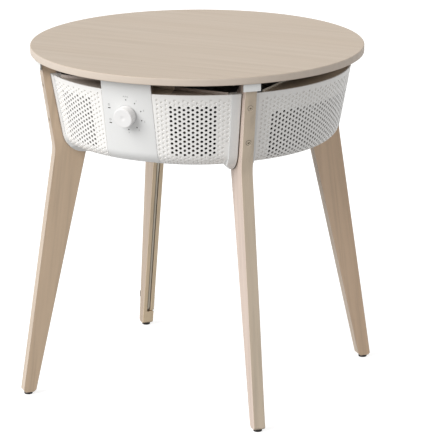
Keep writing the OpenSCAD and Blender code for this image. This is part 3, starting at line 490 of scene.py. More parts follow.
def joined(parts):
    """Several (points, faces) parts as one: the face numbers go up by the points before them."""
    starts = np.cumsum([0] + [len(points) for points, faces in parts])
    return np.concatenate([points for points, faces in parts]), [
        faces + start for (points, faces), start in zip(parts, starts)]


def turned_along(profile, sides, origin, across, up, out):
    """A profile (radius, length) turned round the last of three axes from an origin: points and faces."""
    points, quads = lathe(profile, sides)
    return placed(points, origin, across, up, out), [quads]


def swept(path, radius, sides, side_hint):
    """A round profile carried along a path: ring = path + radius (cos a side + sin a rise), where side is
    the hint with its part along the path taken out and rise is square to both. Ends closed by a flat."""
    path = np.asarray(path, float)
    along = np.gradient(path, axis=0)
    along /= np.linalg.norm(along, axis=1, keepdims=True)
    hint = np.asarray(side_hint, float)
    side = hint - (along @ hint)[:, None] * along
    side /= np.linalg.norm(side, axis=1, keepdims=True)
    rise = np.cross(along, side)
    angle = steps_round(sides)[None, :, None]
    points = path[:, None] + radius * (np.cos(angle) * side[:, None] + np.sin(angle) * rise[:, None])
    last = (len(path) - 1) * sides
    ends = np.array([np.arange(sides)[::-1], last + np.arange(sides)])
    return points.reshape(-1, 3), [rings_between(len(path), sides), ends]


def refined(node, finish, edge=0.0, body="root", flank=None, shortest=0.0, softer=None, cuts=()):
    """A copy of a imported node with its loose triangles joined. Sharp edges longer than shortest get a
    rounding of the width edge; with a flank direction only those where a flat side with that normal ends.
    softer is (test, width): edges whose corners (x, y, z) both pass get that rounding instead.
    cuts are planes (point, normal) that divide the faces they cross."""
    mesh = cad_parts[node].data.copy()
    work = bmesh.new()
    work.from_mesh(mesh)
    bmesh.ops.remove_doubles(work, verts=work.verts, dist=CAD_WELD)
    bmesh.ops.dissolve_limit(work, angle_limit=FLAT_TURN, verts=work.verts, edges=work.edges)
    if edge:
        sharp = [e for e in work.edges if len(e.link_faces) == 2 and e.calc_face_angle(0) > SHARP_TURN
                 and e.calc_length() > shortest * MM]
        if flank is not None:
            sides = [sorted(abs(face.normal.dot(flank)) for face in e.link_faces) for e in sharp]
            sharp = [e for e, (low, high) in zip(sharp, sides) if low < 0.5 and high > 0.98]
        soft = [e for e in sharp if softer and all(softer[0](np.array(v.co) / MM) for v in e.verts)]
        sharp = [e for e in sharp if e not in set(soft)]
        for edges, width in ((sharp, edge), (soft, softer[1] if softer else edge)):
            bmesh.ops.bevel(work, geom=[e for e in edges if e.is_valid], offset=width * MM,
                            segments=BEVEL_STEPS, profile=0.5, affect="EDGES", clamp_overlap=False)
    for point, normal in cuts:
        bmesh.ops.bisect_plane(work, geom=work.verts[:] + work.edges[:] + work.faces[:],
                               plane_co=Vector(point) * MM, plane_no=Vector(normal))
    work.to_mesh(mesh)
    work.free()
    made = dress(node + "_finish", mesh, finish, (node,), body)
    even = made.modifiers.new("even", "WEIGHTED_NORMAL")
    even.keep_sharp = True
    return made


# -------- the housing's curved wall

SHELL_LOW, SHELL_HIGH = node_box("grille_right")
RIM_R = SHELL_HIGH[0]
RIM_Z = SHELL_HIGH[2]
TAPER = math.radians(10.5)
WALL = 2.5
CORNER_R = 25.0
CORNER_TURN = math.pi / 2 - TAPER
CONE_RUN = (RIM_Z - SHELL_LOW[2] - CORNER_R * (1 - math.sin(TAPER))) / math.cos(TAPER)
LIP_R = 198.0
CORNER_END_R = RIM_R - CONE_RUN * math.sin(TAPER) - CORNER_R * math.cos(TAPER)
WALL_RUN = CONE_RUN + CORNER_R * CORNER_TURN + CORNER_END_R - LIP_R
SEAM = 0.4
POST_SEAM = 0.15
POST_ROUNDING = 0.3
POST_HALF = {0: 18.0, 1: 26.0, -1: 26.0}


def meridian(run, depth=0.0):
    """Radius and height of the wall at a run measured down it from the rim: a straight cone, then a corner
    of CORNER_R, then a flat lip; depth goes square into the wall."""
    straight = np.minimum(run, CONE_RUN)
    turn = TAPER + np.clip((run - CONE_RUN) / CORNER_R, 0, CORNER_TURN)
    flat = np.maximum(run - CONE_RUN - CORNER_R * CORNER_TURN, 0)
    r = RIM_R - straight * math.sin(TAPER) - CORNER_R * (math.cos(TAPER) - np.cos(turn)) - flat
    z = RIM_Z - straight * math.cos(TAPER) - CORNER_R * (np.sin(turn) - math.sin(TAPER))
    return r - depth * np.cos(turn), z + depth * np.sin(turn)


def on_wall(azimuth, run, depth=0.0):
    """Points of the wall at an azimuth in radians, a run and a depth: (r cos a, r sin a, z)."""
    r, z = meridian(run, depth)
    return xyz(r * np.cos(azimuth), r * np.sin(azimuth), z)


PANEL_TOP_Z = node_box("control_panel")[1][2]
PANEL_HALF = (44.0, 43.5)
PANEL_HALF_Z = (414.5, 556.0)
PANEL_LEVELS, PANEL_UPRIGHTS = 70, 41


def panel_half(run):
    """Half the panel's width at a run, from its height."""
    return np.interp(meridian(run)[1], PANEL_HALF_Z, PANEL_HALF)


COLUMN = math.radians(1.615)
SIDE_SHIFT = math.radians(-0.52)
FRONT_SHIFT = math.radians(0.74)
HOLE_PITCH = 7.628
QUARTER = HOLE_PITCH / 4
HOLE_R = 2.3
SIDE_LINE = 2.67
FRONT_LINE = 1.67
SHELL_EDGE = 0.5
DIMPLE = 1.8
HOLE_FLARE = 0.35
DIMPLE_DRAFT = 0.2
HOLE_TO_POST = 2.9
HOLE_TO_PANEL = 2.4
COLUMNS_ASIDE = 24
FIRST_LINE = 9
LIP_MARGIN = 0.6
SIDES = 16
# Corner numbers of the flat ring round one hole: 0 to 15 the circle, 16 to 20 and 21 to 25 the two sides
RING_QUADS = np.array([(14, 16, 17, 15), (15, 17, 18, 0), (0, 18, 19, 1), (1, 19, 20, 2),
                       (6, 25, 24, 7), (7, 24, 23, 8), (8, 23, 22, 9), (9, 22, 21, 10)])
RING_TRIS = np.array([(2, 20, 3), (3, 20, 4), (20, 25, 4), (4, 25, 5), (5, 25, 6),
                      (10, 21, 11), (11, 21, 12), (21, 16, 12), (12, 16, 13), (13, 16, 14)])
AROUND = np.arange(SIDES)
NEXT = (AROUND + 1) % SIDES
RIM_TURNS = np.radians([30, 60, 90])


def wall_piece(name, lines, runs, holes=None, finish=GRILLE_WHITE):
    """A curved wall with a front, a back and rounded rims. lines(run, inset) gives the azimuths of the grid's
    upright lines at each run, (lines, runs); holes is (column, first level line, azimuth, run, through)."""

    def layer(inset, depth):
        edge_runs = runs.copy()
        edge_runs[[0, -1]] += (inset + depth * math.tan(TAPER), -inset)
        return on_wall(lines(edge_runs, inset), edge_runs[None, :], depth)

    points = [layer(SHELL_EDGE, 0), layer(0, WALL)]
    back = len(points[0])
    grid = np.arange(back).reshape(-1, len(runs))
    around = np.concatenate([grid[:-1, 0], grid[-1, :-1], grid[:0:-1, -1], grid[0, :0:-1]])
    cells = np.stack([grid[:-1, :-1], grid[1:, :-1], grid[1:, 1:], grid[:-1, 1:]], -1)
    for a in RIM_TURNS:
        points.append(layer(SHELL_EDGE * (1 - math.sin(a)), SHELL_EDGE * (1 - math.cos(a)))[around])
    count = 2 * back + len(RIM_TURNS) * len(around)
    loops = [around, *np.arange(2 * back, count).reshape(len(RIM_TURNS), -1), around + back]
    quads = [np.stack([a, np.roll(a, -1), np.roll(b, -1), b], -1) for a, b in zip(loops, loops[1:])]
    tris, caps = [], []
    open_front = np.ones(cells.shape[:2], bool)
    open_back = open_front.copy()
    if holes is not None:
        column, line, azimuth, run, through = holes
        used = line[:, None] + np.arange(4)
        open_front[column[:, None], used] = False
        open_back[column[through][:, None], used[through]] = False
        angle = steps_round(SIDES)

        def circle(pick, radius, depth):
            nonlocal count
            reach = radius / meridian(run[pick])[0]
            points.append(on_wall(azimuth[pick][:, None] + reach[:, None] * np.cos(angle),
                                  run[pick][:, None] + radius * np.sin(angle), depth))
            numbers = count + np.arange(pick.sum())[:, None] * SIDES + AROUND
            count += numbers.size
            return numbers

        def collar(pick, rings, shift):
            sides = np.stack([column[pick] + 1, column[pick]], -1)[:, :, None]
            rows = (line[pick][:, None] + np.arange(5))[:, None, :]
            corner = np.concatenate([rings, (grid[sides, rows] + shift).reshape(-1, 10)], 1)
            return corner[:, RING_QUADS].reshape(-1, 4), corner[:, RING_TRIS].reshape(-1, 3)

        def tube(outer, inner):
            return np.stack([outer[:, NEXT], outer, inner, inner[:, NEXT]], -1).reshape(-1, 4)

        every, shut = np.ones(len(column), bool), ~through
        mouth = circle(every, HOLE_R, 0)
        far = circle(through, HOLE_R + HOLE_FLARE, WALL)
        bottom = circle(shut, HOLE_R - DIMPLE_DRAFT, DIMPLE)
        quad, tri = collar(every, mouth, 0)
        far_quad, far_tri = collar(through, far, back)
        quads += [quad[:, ::-1], far_quad, tube(mouth[through], far), tube(mouth[shut], bottom)]
        tris += [tri[:, ::-1], far_tri]
        caps.append(bottom[:, ::-1])
    quads += [cells[open_front][:, ::-1], cells[open_back] + back]
    faces = [np.concatenate(quads)] + [np.concatenate(group) for group in (tris, caps) if group]
    piece(name, np.concatenate(points), faces, finish, "white_plastic", (name.removesuffix("_finish"),))


def hole_layout(middle, first, shift, columns, rows, near_panel):
    """Staggered holes: column k stands k pitches from the shifted middle; odd columns sit half a pitch lower.
    A hole is kept where it clears the post and the panel. It goes through inside the given columns and rows."""
    k, j = np.meshgrid(np.arange(-COLUMNS_ASIDE, COLUMNS_ASIDE + 1), np.arange(-2, 14), indexing="ij")
    k, j = k.ravel(), j.ravel()
    odd = k % 2
    line = FIRST_LINE + 4 * j + 2 * odd
    run = first + QUARTER * (line + 1)
    azimuth = k * COLUMN + shift
    r = meridian(run)[0]
    keep = (j >= -1 - odd) & (np.abs(azimuth) < post_edge(r, near_panel) - HOLE_TO_POST / r)
    if near_panel:
        keep &= np.abs(azimuth) > panel_edge(run) + HOLE_TO_PANEL / r
        keep &= k * near_panel > 0
    through = (np.abs(k) >= columns[0]) & (np.abs(k) <= columns[1]) & (j >= rows[0]) & (j <= rows[1])
    return [a[keep] for a in (k + COLUMNS_ASIDE, line, azimuth + middle, run, through)]


def post_edge(r, near_panel):
    """Angle from a quarter's middle to the seam beside a post, which is wider toward the panel."""
    return math.pi / 4 - np.arcsin((POST_HALF[near_panel] + POST_SEAM) / r)


def panel_edge(run):
    """Angle from the front's middle to the seam beside the control panel."""
    return np.arcsin((panel_half(run) + SEAM) / meridian(run)[0])


LINES = np.arange(-COLUMNS_ASIDE - 0.5, COLUMNS_ASIDE + 1) * COLUMN


def run_lines(first):
    """Runs of the grid's level lines: the rim, even quarters of a hole pitch from the first one, the lip."""
    count = math.floor((WALL_RUN - first - LIP_MARGIN) / QUARTER) + 1
    return np.concatenate([[0], first + QUARTER * np.arange(count), [WALL_RUN]])


def quarter_lines(middle, shift, near_panel):
    """Azimuths of the upright grid lines of one quarter, held between its two seams."""
    def lines(runs, inset):
        r = meridian(runs)[0]
        high = post_edge(r, near_panel) - POST_ROUNDING * inset / r
        low = -high
        if near_panel > 0:
            low = panel_edge(runs) + inset / r
        if near_panel < 0:
            high, low = -(panel_edge(runs) + inset / r), -high
        held = np.clip(LINES[:, None] + shift, low, high)
        held[0], held[-1] = low, high
        return held + middle
    return lines


def grilles():
    """The five perforated walls."""
    sides = (SIDE_LINE, SIDE_SHIFT, (0, 21), (2, 12), 0)
    fronts = [(FRONT_LINE, sign * FRONT_SHIFT, (10, 20), (0, 10), sign) for sign in (-1, 1)]
    for side, middle, row in (("right", 0, sides), ("back", 90, sides), ("left", 180, sides),
                              ("front_left", -90, fronts[0]), ("front_right", -90, fronts[1])):
        middle = math.radians(middle)
        first, shift, columns, rows, near_panel = row
        wall_piece(f"grille_{side}_finish", quarter_lines(middle, shift, near_panel), run_lines(first),
                   hole_layout(middle, first, shift, columns, rows, near_panel))


def control_panel():
    """The plain front panel: the same wall without holes, carried up past the rim, between two seams."""
    runs = np.linspace(-(PANEL_TOP_Z - RIM_Z) / math.cos(TAPER), WALL_RUN, PANEL_LEVELS)
    share = np.linspace(-1, 1, PANEL_UPRIGHTS)[:, None]

    def lines(line_runs, inset):
        half = panel_half(line_runs) - inset
        return math.radians(-90) + np.arcsin(share * half / meridian(line_runs)[0])

    wall_piece("control_panel_finish", lines, runs, finish=SHELL_WHITE)


# -------- dial, knob and marks

KNOB_DOWN = 37.4
KNOB_RUN = KNOB_DOWN / math.cos(TAPER)
KNOB_R0, KNOB_Z = meridian(KNOB_RUN)
PANEL_ACROSS = (1, 0, 0)
PANEL_UP = (0, -math.sin(TAPER), math.cos(TAPER))
PANEL_OUT = (0, -math.cos(TAPER), -math.sin(TAPER))


def on_panel(points):
    """Flat points (x, y, height) laid on the curved panel round the knob's axis: x stays, y runs up it."""
    r, z = meridian(KNOB_RUN - points[:, 1], -points[:, 2])
    return xyz(points[:, 0], -np.sqrt(r ** 2 - points[:, 0] ** 2), z)


def control_knob():
    """A short round knob with a soft face edge and a shallow hollow in its face."""
    radius, foot, length = 16.0, 1.6, 14.5
    top = foot + length
    profile = [(0, foot), (radius - 2, foot), (radius - 1.1, foot)]
    profile += rounded((radius - 0.9, foot + 0.6), 0.6, -90, 0, 5)
    profile += [(radius - 0.28, foot + 1.2), (radius, top - 2.4)]
    profile += rounded((radius - 1.5, top - 1.5), 1.5, 8, 90, 7)
    profile.append((radius - 2.2, top))
    profile += [(r, top - depth) for r, depth in ((4.6, 0), (4.0, 0.03), (3.0, 0.35), (1.5, 0.68), (0, 0.8))]
    knob = turned_along(profile, 96, (0, -KNOB_R0, KNOB_Z), PANEL_ACROSS, PANEL_UP, PANEL_OUT)
    piece("control_knob_finish", *knob, KNOB_WHITE, "knob_plastic", ("control_knob",), "knob")


DIAL_R = 25.0
STOPS = np.radians([0, 36, 72, 108, 144, 180])
DIAL_DOT = 1.05
STATUS = np.array([(-32.0, 8.0), (-32.0, -17.0)])
STATUS_REACH = 1.4
PRINT_LOW, PRINT_HIGH = 0.02, 0.06
NUMERAL_R = 30.0
NUMERAL_SIZE = 3.9
AUTO_R = 30.2
AUTO_SIZE = 3.4
SIGN_RISE = 5.5
SIGN_LINE = 0.5


def dial_dots():
    """Small dark lights: a low dome at each stop of the dial and a short bar at each status place."""
    dome = [(0, -0.4), (DIAL_DOT, -0.4), (DIAL_DOT, 0.03), (0.72, 0.1), (0, 0.13)]
    disc, disc_quads = lathe(dome, 20)
    bar = disc * (1, 0.8, 1) + np.sign(np.round(disc[:, :1], 6)) * (STATUS_REACH, 0, 0)
    parts = [(disc + (DIAL_R * math.sin(a), DIAL_R * math.cos(a), 0), disc_quads) for a in STOPS]
    parts += [(bar + (x, y, 0), disc_quads) for x, y in STATUS]
    points, quads = joined(parts)
    piece("dial_lights", on_panel(points), quads, LIGHT_DARK, "light_pipe", ("light_pipes",))


def flat_ring(middle, outer, inner):
    """A thin printed ring."""
    section = [(outer, PRINT_LOW), (outer, PRINT_HIGH), (inner, PRINT_HIGH), (inner, PRINT_LOW)]
    return lathe(section, 24)[0] + (*middle, 0), closed_rings(len(section), 24)


def flat_bar(middle, length):
    """A thin printed bar."""
    return block(middle, (length / 2, SIGN_LINE / 2), (PRINT_LOW, PRINT_HIGH))


def triples(items, kind="co"):
    """Three numbers of each vertex or face, (n, 3)."""
    flat = np.empty(len(items) * 3)
    items.foreach_get(kind, flat)
    return flat.reshape(-1, 3)


def words(name, text, size, middle):
    """Printed characters as a thin mesh, centred on a point and laid on the panel."""
    curve = bpy.data.curves.new(name, "FONT")
    curve.body = text
    curve.size = size
    curve.align_x = "CENTER"
    curve.align_y = "CENTER"
    curve.extrude = (PRINT_HIGH - PRINT_LOW) / 2
    curve.resolution_u = 3
    letters = in_scene(name + "_letters", curve)
    mesh = bpy.data.meshes.new_from_object(letters.evaluated_get(bpy.context.evaluated_depsgraph_get()))
    bpy.data.objects.remove(letters)
    flat = triples(mesh.vertices) + (*middle, (PRINT_LOW + PRINT_HIGH) / 2)
    mesh.vertices.foreach_set("co", (on_panel(flat) * MM).ravel())
    mesh.update()
    dress(name, mesh, PRINT_GREY)


def panel_marks():
    """Numbers round the dial, AUTO over its first stop and two plain status signs."""
    words("mark_auto", "AUTO", AUTO_SIZE, (0, AUTO_R))
    for number, a in enumerate(STOPS[1:], 1):
        words(f"mark_{number}", str(number), NUMERAL_SIZE, (NUMERAL_R * math.sin(a), NUMERAL_R * math.cos(a)))
    above, below = STATUS + (0, SIGN_RISE)
    parts = [flat_bar(above + (0, 1.5 * i), 4.2 - 0.6 * abs(i)) for i in (-1, 0, 1)]
    points, quads = joined(parts + [flat_ring(below, 1.9, 1.5), flat_bar(below, 1.6)])
    piece("mark_signs", on_panel(points), quads, PRINT_GREY, "dark_plastic")


# -------- table top, legs and their hardware

def table_top():
    """A round board: flat faces, a straight edge and small roundings where they meet."""
    low, high = node_box("table_top")
    radius, bottom, top = high[0], low[2], high[2]
    over, under = 1.5, 1.0
    profile = [(r, bottom) for r in (0, 60, 200, radius - under - 1, radius - under - 0.1)]
    profile += rounded((radius - under, bottom + under), under, -90, 0)
    profile += [(radius, bottom + 4), (radius, top - 4)]
    profile += rounded((radius - over, top - over), over, 0, 90, 7)
    profile += [(r, top) for r in (radius - over - 0.1, radius - over - 1.5, 200, 60, 0)]
    points, quads = lathe(profile, 256)
    top_piece = piece("table_top_finish", points, [quads], TOP_WOOD, "stained_wood", ("table_top",))
    more_finishes(top_piece, [BAND_WOOD], lambda centres, normals: np.abs(normals[:, 2]) < 0.5)


SCREW_LEAN = math.radians(8.897)
SCREW_PLACES = ((259.35, 513.64), (250.46, 456.84))
FOOT_R = 293.9


def leg_axes(azimuth):
    """The outward and the sideways direction at an azimuth in degrees."""
    a = math.radians(azimuth)
    return np.array((math.cos(a), math.sin(a), 0)), np.array((-math.sin(a), math.cos(a), 0))


def leg_screws():
    """Countersunk heads with a hexagon socket: ring radius goes from a circle to a hexagon,
    r(a) = flat / cos(a mod 60 degrees - 30 degrees), as the profile turns into the socket."""
    sides = 36
    angle = steps_round(sides)
    hexagon = math.cos(math.pi / 6) / np.cos(angle % (math.pi / 3) - math.pi / 6)
    # Each row: radius, height, share of the way from a circle to the hexagon
    rows = np.array([(0, -6, 0), (2.9, -6, 0), (2.9, -3, 0), (3.8, -1.4, 0), (4.0, -1.0, 0), (3.85, -0.75, 0),
                     (3.5, -0.66, 0), (2.45, -0.64, 0.6), (2.15, -0.75, 1), (2.1, -1.0, 1), (2.1, -2.8, 1),
                     (0, -3.1, 1)])
    head, head_quads = lathe(rows[:, :2], sides)
    head[:, :2] *= (1 + rows[:, 2:] * (hexagon - 1)).reshape(-1, 1)
    # A dark ring round each head, in its countersink: painted shade of the gap there.
    section = [(3.9, -1.5), (3.9, -1.05), (4.5, -0.95), (5.15, -0.08), (5.25, -0.16), (4.6, -1.2)]
    shade_ring, shade_ring_quads = lathe(section, sides)[0], closed_rings(len(section), sides)
    heads, shade_rings = [], []
    for azimuth in LEG_AZIMUTHS.values():
        outward, sideways = leg_axes(azimuth)
        out = math.cos(SCREW_LEAN) * outward - math.sin(SCREW_LEAN) * np.array(UP)
        for r, z in SCREW_PLACES:
            axes = (outward * r + (0, 0, z), sideways, np.cross(out, sideways), out)
            heads.append((placed(head, *axes), head_quads))
            shade_rings.append((placed(shade_ring, *axes), shade_ring_quads))
    piece("leg_screw_heads", *joined(heads), SCREW_METAL, "screw_steel", ("leg_screws",))
    piece("leg_screw_shade_rings", *joined(shade_rings), BLACK_AND_SHADE, "dark_plastic")


def foot_glides():
    """Round black glides under the feet, with a soft lower edge and a pin up into the leg."""
    profile = [(0, 0), (5.6, 0)] + rounded((5.8, 1.2), 1.2, -90, 0)
    profile += [(7, 1.3), (7, 4.4), (6.9, 4.5), (2, 4.5), (2, 16), (0, 16)]
    local, quads = lathe(profile, 40)
    glides = [(local + FOOT_R * leg_axes(azimuth)[0], quads) for azimuth in LEG_AZIMUTHS.values()]
    piece("foot_glides_finish", *joined(glides), GLIDE_BLACK, "glide_plastic", ("foot_glides",))


def more_finishes(made, finishes, choose):
    """Adds finishes to a piece: choose(centres in millimetres, normals) gives each face's number, 0 for the
    finish that it has, 1 for the first that is added and so on."""
    for finish in finishes:
        made.data.materials.append(finish)
    faces = made.data.polygons
    chosen = choose(triples(faces, "center") / MM, triples(faces, "normal"))
    faces.foreach_set("material_index", chosen.astype(np.int32))


GROOVE_SIDES = (9.2, 11.2)
COLUMN_TOP_R = 252.0


def shade_post(post, across):
    """The two grooves beside the leg and the column behind its top end get painted shade."""
    def shaded(centres, normals):
        aside = np.abs(centres @ np.array(across))
        column = (centres[:, 2] > RIM_Z + 0.5) & (np.hypot(centres[:, 0], centres[:, 1]) < COLUMN_TOP_R)
        groove = (aside > GROOVE_SIDES[0]) & (aside < GROOVE_SIDES[1])
        return np.where(column, 2, groove)

    more_finishes(post, [GAP_SHADE_BROWN, COLUMN_SHADE], shaded)


RIB_IN = 186.0
RIB_THICK = 2
CREST_DEPTH = 2.5
# Azimuths at which the deck's painted light and shade change: the front's middle, the end of the lit stretch,
# the right legs
DECK_TURNS = (-90, -73.8, -45, 45)
# Azimuths between which the inside of the base pan is painted shade: brown, and then nearly black
PAN_TURNS = (-130, -62, -14)


def between(centres, turns):
    """For each pair of following azimuths in degrees, whether a centre lies between them."""
    azimuth = np.degrees(np.arctan2(centres[:, 1], centres[:, 0]))
    return [(azimuth > low) & (azimuth < high) for low, high in zip(turns, turns[1:])]


def top_deck():
    """The deck under the air gap, in painted light and shade: nearly black inside its four ribs, brown outside
    them. The side ribs' crests are a painted highlight, a stretch in front is paler as painted light, and the
    stretches up to the right leg and beyond it are lit and shaded copies of the brown."""
    crest = node_box("top_deck")[1][2] - CREST_DEPTH
    planes = [((inner, inner, 0), normal) for normal in ((1, 0, 0), (0, 1, 0)) for inner in (-RIB_IN, RIB_IN)]
    planes += [((0, 0, 0), -leg_axes(turn)[1]) for turn in DECK_TURNS[:3]] + [((0, 0, crest), UP)]
    deck = refined("top_deck", DECK_GAP_SHADE, 0.5, shortest=20, cuts=planes)

    def tone(centres, normals):
        # Painted highlight on the side ribs' crests, painted shade inside the ribs, and painted light and shade
        # by azimuth outside them.
        side_rib = (centres[:, 2] > crest) & (np.abs(centres[:, 0]) > RIB_IN - RIB_THICK)
        inside = np.abs(centres[:, :2]).max(1) < RIB_IN
        return np.select([side_rib, inside, *between(centres, DECK_TURNS)], [2, 1, 3, 4, 5], 0)

    more_finishes(deck, [BLACK_AND_SHADE, RIB_HIGHLIGHT, DECK_LIT, DECK_HALF_LIT, DECK_SHADE], tone)


def base_pan():
    """The inside of the base pan, above its floor's outer face, is painted shade: nearly black toward the front
    right leg, brown in front and grey behind."""
    floor = node_box("base_pan")[0][2] + 1

    def inside(centres, normals):
        return np.where(centres[:, 2] > floor, np.select(between(centres, PAN_TURNS), [2, 1], 3), 0)

    pan = refined("base_pan", POST_WHITE)
    more_finishes(pan, [BLACK_AND_SHADE, PAN_SHADE_BROWN, GREY_AND_SHADE], inside)


def reshaped(made, move):
    """Moves a piece's points, (n, 3) in millimetres, by a rule that changes them in place."""
    points = triples(made.data.vertices) / MM
    move(points)
    made.data.vertices.foreach_set("co", (points * MM).ravel())
    close_up(made.data)


UNDER_Z = node_box("table_top")[0][2]
HEAD_Z = UNDER_Z - 6
CAP_LOW_Z = UNDER_Z - 12.2
CAP_IN_R = 264.7
CAP_ROUNDING = 0.9
POST_EDGE = 0.25
LEG_EDGE = 0.5
TAB_HALF = 9.3
TAB_FRONT_R = CAP_IN_R - 4
TAB_FRONT_Z = CAP_LOW_Z - 0.6
TAB_HEAD_Z = HEAD_Z - 0.7
FLANGE_HALF = TAB_HALF - 0.1
FLANGE_HEAD_Z = HEAD_Z - 0.4
PAD_T = 2.1
PAD_PLAY = 0.05


def tab_to_top(points, outward):
    """The leg's tab runs up to the table top, and its front stands back to leave room for the pad."""
    front = (points[:, 2] > TAB_FRONT_Z) & (points @ outward > TAB_FRONT_R)
    points[front] -= (PAD_T - 1) * outward
    points[points[:, 2] > TAB_HEAD_Z, 2] += UNDER_Z - HEAD_Z - PAD_PLAY


def flange_behind_leg(points, outward, across):
    """The post's flange is no wider than the leg's tab up to the back of the cap."""
    aside = points @ np.array(across)
    wide = (points[:, 2] > FLANGE_HEAD_Z) & (points @ outward < CAP_IN_R) & (np.abs(aside) > FLANGE_HALF)
    points[wide] -= np.outer(aside - np.sign(aside) * FLANGE_HALF, across)[wide]


def cap_pads():
    """A dark pad fills the slot between each leg's tab and its cap: a box laid across the leg, painted shade
    where the slot lies in shadow.
    """
    corner, faces = block((CAP_IN_R - 1, 0), (PAD_T / 2 - PAD_PLAY, TAB_HALF - PAD_PLAY),
                          (CAP_LOW_Z + 0.2, UNDER_Z - 0.02))
    pads = [(placed(corner, (0, 0, 0), *leg_axes(azimuth), UP), faces) for azimuth in LEG_AZIMUTHS.values()]
    piece("cap_pads", *joined(pads), GAP_SHADE_BROWN, "dark_plastic")


def legs_and_posts():
    """The four leg boards, with a wood of their own on the broad faces, and the posts behind them."""
    for leg, azimuth in LEG_AZIMUTHS.items():
        outward, sideways = leg_axes(azimuth)
        across = Vector(sideways)
        edge_wood, face_wood = LEG_WOODS[leg]
        board = refined("leg_" + leg, edge_wood, LEG_EDGE, flank=across)
        more_finishes(board, [face_wood], lambda centres, normals: np.abs(normals @ np.array(across)) > 0.99)
        reshaped(board, lambda points: tab_to_top(points, outward))
        rims = (lambda corner: corner @ outward > CAP_IN_R, CAP_ROUNDING)
        post = refined("post_" + leg, POST_WHITE, POST_EDGE, flank=across, softer=rims,
                       cuts=[(outward * (CAP_IN_R - 0.1), outward)])
        reshaped(post, lambda points: flange_behind_leg(points, outward, across))
        shade_post(post, across)
    cap_pads()


# -------- power lead

LEAD_D = 4.0
LEAD_STEP = 2.0
LEAD_SIDES = 12
# Places of the lead: (radius, height) down the leg's groove, then (x, y, z) from the leg to the floor
GROOVE_RUN = [(189.5, 393), (192, 382), (195, 370), (198.5, 358), (202.5, 346), (206.5, 334), (211, 322),
              (215, 310), (218.5, 298), (221.5, 286), (225, 274), (230.5, 250), (241.7, 200), (253.2, 150),
              (264.7, 100), (273.9, 60), (277.3, 45), (279, 37), (280.3, 34), (282.3, 31.8), (285, 30.4),
              (288, 30), (294, 30), (299, 30)]
FLOOR_RUN = [(-215, 215, 30), (-218.5, 218.5, 29.3), (-221.5, 222.5, 27.3), (-224, 227, 23.5),
             (-226, 230.5, 18.5), (-227.5, 234.5, 12.8), (-228.5, 238.5, 8), (-229.9, 243.3, 4.6),
             (-232.2, 248.6, 2.9), (-235.3, 254.4, 2.2), (-239, 261, 2.2)]
HANK_START = np.array((-232.9, 263.1, 0))
HANK_TURN = math.radians(117.8)
HANK_ALONG = np.array((math.cos(HANK_TURN), math.sin(HANK_TURN), 0))
HANK_SIDE = np.array((-math.sin(HANK_TURN), math.cos(HANK_TURN), 0))
HANK_ENDS = (18.0, 74.0)
HANK_MID = 18.1
OUTER_R = 15.9
INNER_R = 11.7
LANES = (6.3, 2.1, -2.1, -6.3)
INNER_LANE = -4.2
RUN_STEPS, TURN_STEPS = 15, 14
# Along the hank: where the lead comes in, over what length its end moves aside, where and how fast it drops
HANK_IN = (10.5, 14)
ASIDE_RUN = 50
DROP_FROM, DROP_RUN = 64, 18
CONNECTOR_AT = np.array((84.0, 9.5, 5.0))
# The connector's neck, the places of its grip's grooves and its bare tip, with lengths along its axis
NECK = [(0, -2), (2.1, -2), (2.3, 0), (2.6, 2.2), (2.4, 2.5), (2.9, 4.6), (2.7, 4.9), (3.2, 7), (3.0, 7.3),
        (3.5, 9.6), (4.2, 10)]
GRIP_R, GROOVE_R = 5, 4.7
GRIP_GROOVES = (15.5, 17.5, 19.5, 21.5, 23.5)
TIP = [(0, 33.5), (2.75, 33.5), (2.75, 42.6), (2.5, 42.9), (1.6, 42.9), (1.15, 42.4), (1.05, 36), (0, 36)]
# The tie's section: along the hank, outward
STRAP = np.array([(-3, 0), (-2.7, 0.75), (-2.2, 0.9), (2.2, 0.9), (2.7, 0.75), (3, 0), (2.8, -0.05),
                  (-2.8, -0.05)])
STRAP_HALF = (8.35, 18.1)
STRAP_MID = 19.05
STRAP_BEND = 2.2
STRAP_STEPS = 7


def in_hank(points):
    """Points (along, side, height) of the hank in the table's own frame."""
    return placed(points, HANK_START, HANK_ALONG, HANK_SIDE, UP)


def eased(start, end, share):
    """Start to end with a level beginning and finish: 3 t^2 - 2 t^3."""
    share = np.clip(share, 0, 1)
    return start + (end - start) * share * share * (3 - 2 * share)


def lap(forward, radius, side, height, side_share=(0, 1), height_share=(0, 1)):
    """A straight run to the far or the near end of the hank, and the half turn there: up at the far end, down
    at the near one. Side and height ease over the given shares of the run."""
    share = np.linspace(0, 1, RUN_STEPS)[1:-1]
    start, end = HANK_ENDS if forward else HANK_ENDS[::-1]
    part = [(share - a) / (b - a) for a, b in (side_share, height_share)]
    sense = 1 if forward else -1
    angle = np.linspace(-math.pi / 2, math.pi / 2, TURN_STEPS) * sense
    return [xyz(start + (end - start) * share, eased(*side, part[0]), eased(*height, part[1])),
            xyz(end + radius * np.cos(angle) * sense, side[1], HANK_MID + radius * np.sin(angle))]


